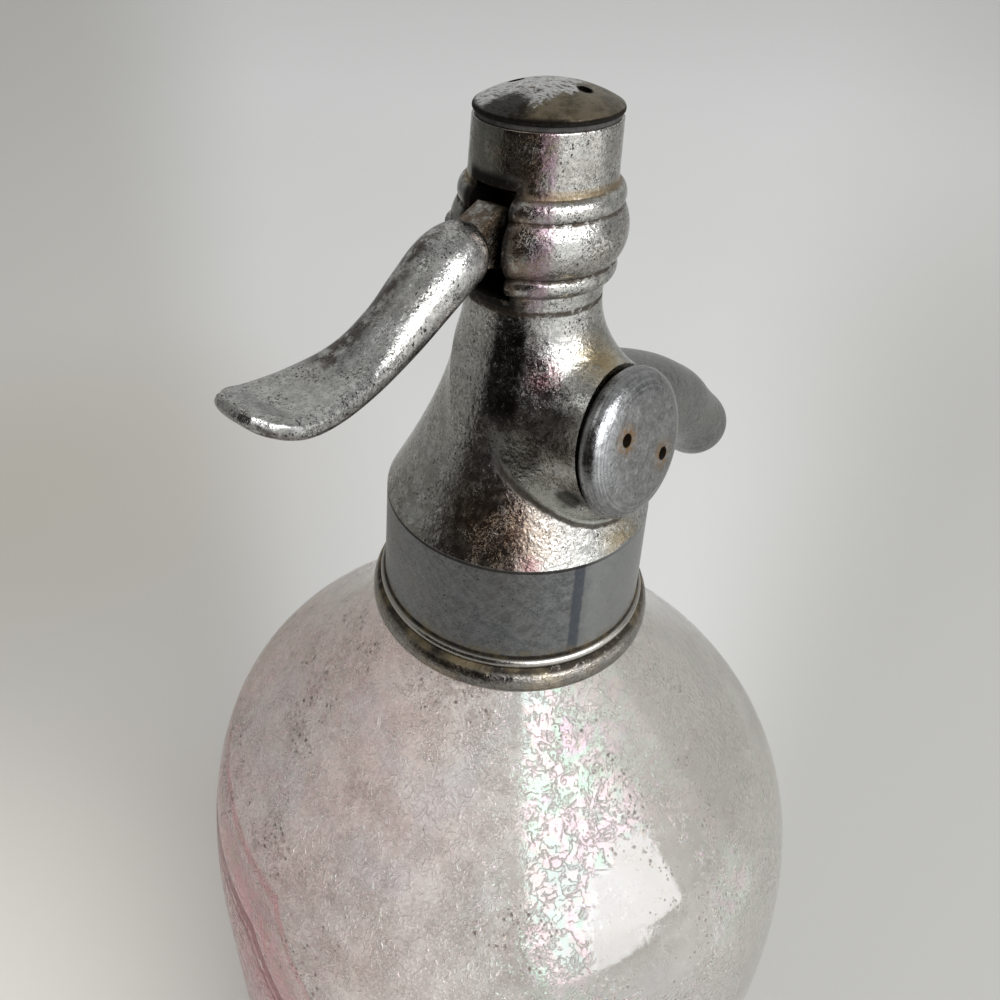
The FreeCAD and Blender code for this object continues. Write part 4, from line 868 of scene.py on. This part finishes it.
def glass_inside(name, base, fog):
    """The wet side: scale, water lines and a frosted bloom."""
    n = Net(name)
    mid = n.noise(0.14, 6.0, 0.68, seed=101)
    fine = n.noise(0.8, 5.0, 0.72, seed=102)
    spots = n.pits(0.7, 0.34, 0.05, seed=7)
    rings = n.noise(1.0, 3.0, 0.6, vec=n.vmul(n.p, (0.03, 0.03, 0.5)), seed=103)
    bloom = n.add(0.05, n.mul(n.step(n.add(n.mul(mid, 0.55), n.mul(fine, 0.45)), 0.42, 0.62), fog),
                  n.mul(n.step(rings, 0.55, 0.7), fog * 0.3))
    opaque = n.top(bloom, n.mul(spots, 0.4))
    col = n.mix(n.step(fine, 0.4, 0.65), base, tuple(c * 0.95 for c in base))
    n.set(Base_Color=col, Roughness=n.add(0.24, n.mul(bloom, 0.5)), Transmission_Weight=n.m("SUBTRACT", 1.0, opaque, clamp=True),
          Normal=n.bump(n.add(n.mul(fine, 0.03), n.mul(mid, 0.05))))
    n.b.inputs["IOR"].default_value = 1.52
    return n.mat


mat_glass_out = bottle_outside()
mat_glass_in = glass_inside("bottle_glass_inside", (0.965, 0.945, 0.915), 0.12)
mat_tube = glass_inside("tube_glass", (0.90, 0.90, 0.87), 0.30)

# bottle: the same outline as the solid, with more steps
R = 52.5
outer = profile((0.0, 4.6), [
    ((14.0, 4.6), (26.0, 2.8), (31.0, 0.0), 18), ((44.5, 0.0), 10),
    ((49.1, 0.0), (R, 5.4), (R, 12.0), 18), ((R, 162.0), 50),
    ((R, 174.0), (R - 1.2, CZ - 41.5), (R - 5.2, CZ - 34.8), 26),
    ((R - 6.9, CZ - 32.0), (R - 8.6, CZ - 30.6), (R - 10.5, CZ - 28.7), 14),
    ((32.5, CZ - 20.4), (24.0, CZ - 10.9), (17.6, CZ - 1.8), 44),
    ((15.9, CZ + 0.5), (12.4, CZ + 1.6), (12.4, CZ + 3.4), 10), ((12.4, CZ + 8.5), 5),
    ((13.3, CZ + 8.6), (14.2, CZ + 9.0), (14.2, CZ + 10.2), 5), ((14.2, CZ + 12.6), 2),
    ((14.2, CZ + 13.6), (13.6, CZ + 14.0), (12.8, CZ + 14.0), 4), ((10.0, CZ + 14.0), 2),
])
inner = profile((10.0, CZ + 14.0), [
    ((9.4, CZ + 14.0), (9.0, CZ + 13.6), (9.0, CZ + 13.0), 4), ((9.0, CZ + 1.0), 8),
    ((9.0, CZ - 1.6), (10.6, CZ - 3.3), (13.4, CZ - 6.6), 10),
    ((20.5, CZ - 15.0), (29.4, CZ - 24.6), (38.4, CZ - 32.8), 36),
    ((41.2, CZ - 35.4), (47.2, CZ - 44.0), (47.2, CZ - 58.0), 26), ((47.2, 24.0), 46),
    ((47.2, 17.0), (40.0, 13.0), (30.0, 12.6), 18), ((20.0, 12.3), (10.0, 13.2), (0.0, 13.5), 14),
])
pts = np.concatenate([outer, inner[1:]])
gv, gf = turned(pts, 320, closed=False)
first_inner = len(outer) - 1
owner = []
seg = 320
for i in range(len(pts) - 1):
    owner += [0 if i < first_inner else 1] * seg
bottle = mesh_of("bottle", gv, gf, [mat_glass_out, mat_glass_in], sharp=50.0, index=owner)
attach(bottle, "siphon")
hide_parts("glass_bottle")


# --------------------------------------------------------- the head casting
t = np.linspace(0, 1, 600)[:, None]
curve = np.concatenate([[[18.5, 19.8]], bezier((18.5, 19.8), (15.3, 25.9), (8.52, 37.8), (8.42, 50.6), 600)])
slope = np.gradient(curve[:, 0], curve[:, 1])
BT = math.radians(12.4)
ST = math.radians(22.8)
BD, BU = np.array([0, -math.cos(BT), math.sin(BT)]), np.array([0, math.sin(BT), math.cos(BT)])
SD = np.array([math.cos(ST), 0, -math.sin(ST)])


def soft(x, a, b):
    q = np.clip((x - a) / (b - a), 0, 1)
    return q * q * (3 - 2 * q)


def casting(p):
    """Distance to the middle of the head, with heights from the collar."""
    r = np.hypot(p[:, 0], p[:, 1])
    z = p[:, 2]
    rad = np.interp(z, curve[:, 1], curve[:, 0])
    sl = np.interp(z, curve[:, 1], slope)
    rad = rad + np.where(z < 19.8, (z - 19.8) * slope[0], 0.0)
    main = (r - rad) / np.sqrt(1 + sl * sl)
    q = p - np.array([0, 0, 31.2])
    run = q @ BD
    off = q - run[:, None] * BD
    rho = np.linalg.norm(off, axis=1)
    c = (off @ BU) / np.maximum(rho, 1e-6)
    boss_r = 9.8 - 0.5 * soft(run, 9.5, 15.5)
    low = soft(-c, -0.70, 0.50)
    # the root flares out to a lip that stands on the dome
    boss_r = boss_r + low * (1.75 * (1 - soft(main, -0.2, 2.6)) - 0.25)
    boss = np.maximum((rho - boss_r) * 0.8, -run)
    k = 0.6 + 6.4 * soft(c, -0.20, 0.95)
    d = smin(main, boss, k)
    q = p - np.array([0, 0, 34.6])
    run = q @ SD
    rho = np.linalg.norm(q - run[:, None] * SD, axis=1)
    sock = np.maximum(rho - 7.6, np.maximum(-run, run - 17.2))
    return smin(d, sock, 2.6)


mv, mf = nets(casting, (-19.6, -19.0, 18.8), (19.6, 19.6, 51.6), 0.30)
mv, mf = trim(mv, mf, [((0, 0, 19.8), (0, 0, -1)), ((0, 0, 50.6), (0, 0, 1)),
                       (tuple(np.array([0, 0, 31.2]) + BD * 15.5), tuple(BD))])
mv = mv + np.array([0, 0, CZ])
mid_piece = (mv, mf)


def lift(pts):
    return pts + np.array([0.0, CZ])


band_pts = lift(profile((17.2, 2.7), [
    ((19.30, 2.7), 4), ((19.95, 2.76), (20.05, 4.0), (19.1, 4.15), 14),
    ((18.5, 19.8), 22), ((17.9, 20.3), 3), ((17.2, 20.3), 2), ((17.2, 2.7), 20)])[:-1])
barrel_pts = lift(profile((8.0, 50.0), [
    ((8.42, 50.6), 2), ((8.47, 52.7), 6),
    ((9.80, 52.75), (9.95, 54.6), (9.25, 55.1), 16),
    ((10.80, 56.6), (10.85, 59.8), (9.45, 61.7), 34),
    ((9.85, 62.4), (9.70, 63.7), (8.72, 64.1), 16),
    ((8.60, 64.35), (8.56, 64.8), (8.54, 65.4), 5),
    ((8.32, 70.75), 14), ((8.31, 70.9), (8.22, 71.0), (8.1, 71.0), 4), ((6.85, 71.0), 5),
    ((6.85, 65.2), 10), ((5.6, 65.2), 3), ((5.6, 50.0), 26), ((8.0, 50.0), 3)])[:-1])
barrel = mesh_of("barrel", *turned(barrel_pts, 384), [mat_head], sharp=0)
cut(barrel, box_mesh((-16.0, -2.75, CZ + 51.9), (0.0, 2.75, CZ + 64.8)), "slot_tool")
pa = np.arange(28) * 2 * math.pi / 28
pin_tool = (np.concatenate([np.stack([-7.0 + 1.1 * np.cos(pa), np.full(28, y), CZ + 58.8 + 1.1 * np.sin(pa)], 1) for y in (3.0, 14.0)]),
            [list(range(27, -1, -1)), list(range(28, 56))] + [[i, (i + 1) % 28, 28 + (i + 1) % 28, 28 + i] for i in range(28)])
cut(barrel, pin_tool, "pin_tool")
bm = bmesh.new()
bm.from_mesh(barrel.data)
bv = np.array([v.co for v in bm.verts]) * 1000.0
bf = [[v.index for v in f.verts] for f in bm.faces]
bm.free()
old = barrel.data
bpy.data.objects.remove(barrel)
bpy.data.meshes.remove(old)
bandv, bandf = turned(band_pts, 512)
hv, hf = joined([mid_piece, (bandv, bandf), (bv, bf)])
hidx = [0] * len(mf) + [1] * len(bandf) + [0] * len(bf)
head = mesh_of("head_casting", hv, hf, [mat_head, mat_band], sharp=32.0, index=hidx)
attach(head, "siphon")
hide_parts("head_body")


# ---------------------------------------------------------------- the lever
LEVER = np.array([
    (11.85, 59.4, 2.2, 2.1), (12.4, 59.3, 3.1, 3.0), (13.9, 58.85, 3.85, 3.7), (16.4, 57.9, 4.15, 3.85),
    (19.6, 55.9, 4.1, 3.55), (24.0, 53.1, 3.9, 3.15), (29.4, 50.9, 4.15, 2.75), (35.0, 50.05, 4.85, 2.3),
    (39.4, 50.35, 5.3, 1.85), (42.5, 51.5, 4.7, 1.45), (44.2, 52.6, 3.0, 0.95)])


def catmull(P, m):
    """Smooth curve through the rows of P."""
    P = np.concatenate([[2 * P[0] - P[1]], P, [2 * P[-1] - P[-2]]])
    out = []
    for i in range(1, len(P) - 2):
        a, b, c, d = P[i - 1:i + 3]
        u = np.linspace(0, 1, m, endpoint=False)[:, None]
        out.append(0.5 * (2 * b + (c - a) * u + (2 * a - 5 * b + 4 * c - d) * u ** 2 + (3 * b - a - 3 * c + d) * u ** 3))
    return np.concatenate(out + [P[-2:-1]])


def handle():
    path = catmull(LEVER[:, :2], 14)
    size = catmull(LEVER[:, 2:], 14)
    run = np.concatenate([[0], np.cumsum(np.linalg.norm(np.diff(path, axis=0), axis=1))])
    total = run[-1]
    m = 96
    fi = np.arange(m) * 2 * math.pi / m
    cs, sn = np.cos(fi), np.sin(fi)
    rows = []
    tang = np.gradient(path, axis=0)
    tang /= np.linalg.norm(tang, axis=1, keepdims=True)
    # rounded ends: extra rings that shrink over the last bit
    n = len(path)
    for i in range(n):
        s = run[i]
        a, b = size[i]
        spoon = soft(s, total - 19.0, total - 7.0)
        p_top = 2.0 + 1.5 * spoon
        p_bot = 2.0 + 0.3 * spoon
        pw = np.where(sn > 0, p_top, p_bot)
        yy = a * np.sign(cs) * np.abs(cs) ** (2.0 / pw)
        nn = b * np.sign(sn) * np.abs(sn) ** (2.0 / pw)
        # the thumb dish, deepest before the end, and a low ridge that runs into it
        dish = 0.95 * soft(s, total - 21.0, total - 11.0) * (1 - 0.75 * soft(s, total - 5.0, total))
        f = np.clip(1 - (yy / a) ** 2, 0, 1) ** 0.9
        nn = np.where(sn > 0, nn - dish * f, nn)
        ridge = 0.35 * soft(s, total - 27.0, total - 20.0) * (1 - soft(s, total - 16.0, total - 11.5))
        nn = np.where(sn > 0, nn + ridge * np.exp(-((yy + 0.9) / 0.9) ** 2), nn)
        tx, tz = tang[i]
        # path runs outwards, towards -X; the normal is up
        base = np.array([-path[i, 0], 0.0, CZ + path[i, 1]])
        nrm = np.array([tz, 0.0, tx])
        rows.append(base + yy[:, None] * np.array([0, 1.0, 0]) + nn[:, None] * nrm)
    rows = [np.asarray(r) for r in rows]

    def capped(ring, direction, length, steps):
        c = ring.mean(0)
        extra = []
        for q in range(1, steps + 1):
            w = math.sin(q / steps * math.pi / 2)
            extra.append(c + (ring - c) * math.cos(q / steps * math.pi / 2) ** 0.9 + direction * length * w)
        return extra

    end_dir = np.array([-tang[-1, 0], 0, tang[-1, 1]])
    start_dir = np.array([tang[0, 0], 0, -tang[0, 1]])
    tail = capped(rows[-1], end_dir, 0.85, 7)
    nose = capped(rows[0], start_dir, 0.55, 5)
    rows = nose[::-1] + rows + tail
    verts = [rows[0].mean(0)[None]] + rows[1:-1] + [rows[-1].mean(0)[None]]
    faces = []
    k = np.arange(m)
    k2 = (k + 1) % m
    count = len(rows) - 2
    faces += np.stack([np.zeros(m, int), 1 + k, 1 + k2], 1).tolist()
    for i in range(count - 1):
        s0, s1 = 1 + i * m, 1 + (i + 1) * m
        faces += np.stack([s0 + k, s1 + k, s1 + k2, s0 + k2], 1).tolist()
    last = 1 + count * m
    faces += np.stack([1 + (count - 1) * m + k, np.full(m, last), 1 + (count - 1) * m + k2], 1).tolist()
    return np.concatenate(verts), faces


def plate(outline, half, chamfer):
    """Flat plate in the XZ plane with chamfered edges."""
    o = np.array(outline, float)
    c = o.mean(0)
    nxt, prv = np.roll(o, -1, 0), np.roll(o, 1, 0)
    e1 = (o - prv) / np.linalg.norm(o - prv, axis=1, keepdims=True)
    e2 = (nxt - o) / np.linalg.norm(nxt - o, axis=1, keepdims=True)
    inward = np.stack([-(e1[:, 1] + e2[:, 1]), e1[:, 0] + e2[:, 0]], 1)
    inward /= np.linalg.norm(inward, axis=1, keepdims=True)
    if ((c - o) * inward).sum() < 0:
        inward = -inward
    small = o + inward * chamfer
    rings = []
    for pts2, y in ((small, -half), (o, -half + chamfer), (o, half - chamfer), (small, half)):
        rings.append(np.stack([pts2[:, 0], np.full(len(o), y), pts2[:, 1] + CZ], 1))
    n = len(o)
    faces = [list(range(n)), list(range(4 * n - 1, 3 * n - 1, -1))]
    for r in range(3):
        faces += [[r * n + i, (r + 1) * n + i, (r + 1) * n + (i + 1) % n, r * n + (i + 1) % n] for i in range(n)]
    return np.concatenate(rings), faces


nose_curve = bezier((-2.1, 57.35), (-0.55, 57.35), (-0.55, 60.25), (-2.1, 60.25), 14)
tang_outline = [(-13.2, 61.4), (-13.2, 56.9), (-8.4, 55.9), (-5.9, 56.4), (-4.9, 57.35), (-2.1, 57.35)]
tang_outline += [tuple(q) for q in nose_curve] + [(-5.3, 60.25), (-7.2, 62.4), (-9.1, 63.1)]
lv, lf = joined([handle(), plate(tang_outline, 2.0, 0.32)])
lever = mesh_of("thumb_lever", lv, lf, [mat_lever], sharp=38.0)
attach(lever, "lever")
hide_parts("lever")


# ------------------------------------------------- materials of the CAD nodes
for name, mat in (
        ("collar_ring", mat_collar), ("spout", mat_spout), ("side_plug", mat_plug), ("side_plug_washer", mat_rubber),
        ("top_cap", mat_cap), ("top_cap_washer", mat_rubber), ("neck_clamp_half_front", mat_clamp),
        ("neck_clamp_half_rear", mat_clamp), ("neck_gasket", mat_rubber), ("valve_seat", mat_inner),
        ("valve_holder", mat_inner), ("valve_rubber", mat_rubber), ("gland_packing", mat_packing),
        ("gland_washer", mat_inner), ("gland_nut", mat_inner), ("spindle", mat_inner), ("spring_seat", mat_inner),
        ("return_spring", mat_wire), ("lever_pin", mat_pin), ("dip_tube", mat_tube), ("tube_bush", mat_rubber)):
    ob = NODE[name]
    if not ob.data.materials:
        ob.data.materials.append(mat)
    for i in range(len(ob.material_slots)):
        ob.material_slots[i].material = mat
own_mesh(NODE["return_spring"])


# ------------------------------------------------------- floor, lights, world
def floor_material():
    n = Net("floor_with_painted_light")
    a, b = n.noise(0.004, 3.0, 0.5), n.noise(0.6, 4.0, 0.6, seed=2)
    col = n.mix(n.step(a, 0.3, 0.7), (0.660, 0.652, 0.632), (0.680, 0.675, 0.660))
    col = n.mix(n.mul(n.step(b, 0.4, 0.65), 0.25), col, (0.655, 0.645, 0.625))
    # painted light: two wide lighter patches on the floor; painted shade: three darker patches
    gx, gy = n.add(n.x, 80.0), n.add(n.y, 59.0)
    way = n.mul(n.m("ARCTAN2", gy, gx), 57.29578)
    gone = n.m("SQRT", n.add(n.mul(gx, gx), n.mul(gy, gy)))
    painted_light_far = n.mul(n.band(way, 22.0, 52.0, 22.0), n.step(gone, 500.0, 1500.0, 0.35, 1.0))
    painted_light_near = n.near((-110.0, 150.0, 0.0), 240.0)
    painted_dark_patch = n.mul(n.near((40.0, 400.0, 0.0), 260.0), n.inv(painted_light_near))
    side = n.mul(n.step(way, 24.0, 6.0), n.step(gone, 1300.0, 500.0, 0.25, 1.0))
    painted_shade_wing = n.mul(n.step(way, 54.0, 66.0), n.inv(painted_light_near))
    col = n.mix(n.mul(painted_light_far, 0.85), col, (0.84, 0.85, 0.855))
    col = n.mix(n.mul(painted_light_near, 0.62), col, (0.88, 0.83, 0.765))
    col = n.mix(n.mul(side, 0.9), col, (0.475, 0.470, 0.448))
    col = n.mix(n.mul(painted_shade_wing, 0.8), col, (0.545, 0.535, 0.505))
    col = n.mix(n.mul(painted_dark_patch, 0.65), col, (0.48, 0.445, 0.385))
    n.set(Base_Color=col, Roughness=n.step(b, 0.3, 0.7, 0.45, 0.55), Normal=n.bump(n.mul(b, 0.01)))
    return n.mat


rings = [0, 60, 150, 400, 1000, 2500, 6000, 9000]
fv, ff = [[0.0, 0.0, 0.0]], []
for r in rings[1:]:
    fv += [[r * math.cos(2 * math.pi * k / 96), r * math.sin(2 * math.pi * k / 96), 0.0] for k in range(96)]
ff += [[0, 1 + k, 1 + (k + 1) % 96] for k in range(96)]
for i in range(len(rings) - 2):
    ff += [[1 + i * 96 + k, 1 + (i + 1) * 96 + k, 1 + (i + 1) * 96 + (k + 1) % 96, 1 + i * 96 + (k + 1) % 96] for k in range(96)]
floor = mesh_of("floor", fv, ff, [floor_material()], sharp=0)
floor.location.z = -0.0002


def window_light(name, az, el, dist, width, height, radiance, colour, aim):
    data = bpy.data.lights.new(name, "AREA")
    data.shape = "RECTANGLE"
    data.size, data.size_y = width, height
    data.energy = radiance * math.pi * width * height
    data.color = colour
    ob = bpy.data.objects.new(name, data)
    scene.collection.objects.link(ob)
    a, e = math.radians(az), math.radians(el)
    back = Vector((math.cos(e) * math.cos(a), math.cos(e) * math.sin(a), math.sin(e)))
    ob.location = Vector(aim) + back * dist
    ob.rotation_mode = "QUATERNION"
    ob.rotation_quaternion = back.to_track_quat("Z", "Y")
    ob.visible_camera = False
    return ob


window_light("window", -98.0, 30.5, 1.7, 1.60, 0.92, 7.6, (0.98, 0.99, 1.0), (0, 0, 0.25))


def card(name, radius, az0, az1, z0, z1, material):
    """A curved card round the object that only shiny surfaces see."""
    steps = 48
    v, f = [], []
    for k in range(steps + 1):
        a = math.radians(az0 + (az1 - az0) * k / steps)
        v += [(radius * math.cos(a), radius * math.sin(a), z0), (radius * math.cos(a), radius * math.sin(a), z1)]
    for k in range(steps):
        f.append([2 * k, 2 * k + 2, 2 * k + 3, 2 * k + 1])
    ob = mesh_of(name, v, f, [material], sharp=0)
    for ray in ("camera", "diffuse", "transmission", "volume_scatter", "shadow"):
        setattr(ob, "visible_" + ray, False)
    return ob


def card_material(name, tone, glow):
    n = Net(name)
    a = n.noise(0.01, 4.0, 0.6)
    col = n.mix(n.step(a, 0.35, 0.65), tone, tuple(c * 0.8 for c in tone))
    n.set(Base_Color=col, Roughness=0.9, Emission_Color=col, Emission_Strength=glow)
    return n.mat


card("dark_card", 420.0, 151.0, 219.0, 60.0, 560.0, card_material("dark_cloth", (0.026, 0.019, 0.015), 0.25))
card("white_card", 600.0, -121.0, -50.0, 15.0, 290.0, card_material("white_board", (0.90, 0.90, 0.90), 1.25))

world = bpy.data.worlds.new("studio")
scene.world = world
world.use_nodes = True
wt = world.node_tree
wt.nodes.clear()


def build_world():
    n = Net.__new__(Net)
    n.t = wt
    out = wt.nodes.new("ShaderNodeOutputWorld")
    bg = wt.nodes.new("ShaderNodeBackground")
    wt.links.new(bg.outputs[0], out.inputs["Surface"])
    tc = wt.nodes.new("ShaderNodeTexCoord")
    s = wt.nodes.new("ShaderNodeSeparateXYZ")
    wt.links.new(tc.outputs["Generated"], s.inputs[0])
    x, y, z = s.outputs
    az = n.mul(n.m("ARCTAN2", y, x), 57.29578)
    el = n.mul(n.m("ARCSINE", z), 57.29578)
    col = n.mix(n.step(el, 20.0, 75.0), (0.40, 0.40, 0.39), (0.50, 0.50, 0.49))
    pale = n.mul(n.band(az, -8.0, 62.0, 28.0), n.step(el, -2.0, 12.0))
    col = n.mix(n.mul(pale, 0.85), col, (0.80, 0.80, 0.78))
    lamp = n.mul(n.band(az, 140.0, 176.0, 10.0), n.band(el, 47.0, 58.0, 5.0))
    dark = n.top(n.step(az, -130.0, -141.0), n.step(az, 149.0, 156.0))
    dark = n.mul(dark, n.step(el, 60.0, 40.0))
    col = n.mix(dark, col, (0.016, 0.012, 0.010))
    rosy = n.mul(n.band(az, -140.0, -131.0, 6.0), n.band(el, -35.0, 30.0, 14.0))
    col = n.mix(n.mul(rosy, 0.8), col, (0.15, 0.085, 0.12))
    sill = n.mul(n.band(az, -124.0, -66.0, 6.0), n.band(el, -2.0, 12.0, 5.0))
    col = n.mix(sill, col, (1.5, 1.5, 1.5))
    col = n.mix(lamp, col, (1.5, 1.5, 1.45))
    lp = wt.nodes.new("ShaderNodeLightPath")
    col = n.mix(lp.outputs["Is Glossy Ray"], (0.53, 0.53, 0.52), col)
    seen = n.top(lp.outputs["Is Camera Ray"], lp.outputs["Is Transmission Ray"])
    col = n.mix(seen, col, (0.62, 0.62, 0.60))
    wt.links.new(col, bg.inputs[0])
    bg.inputs[1].default_value = 1.0


build_world()
if hasattr(world, "cycles"):
    world.cycles.sampling_method = "NONE"
scene.view_settings.view_transform = "Standard"
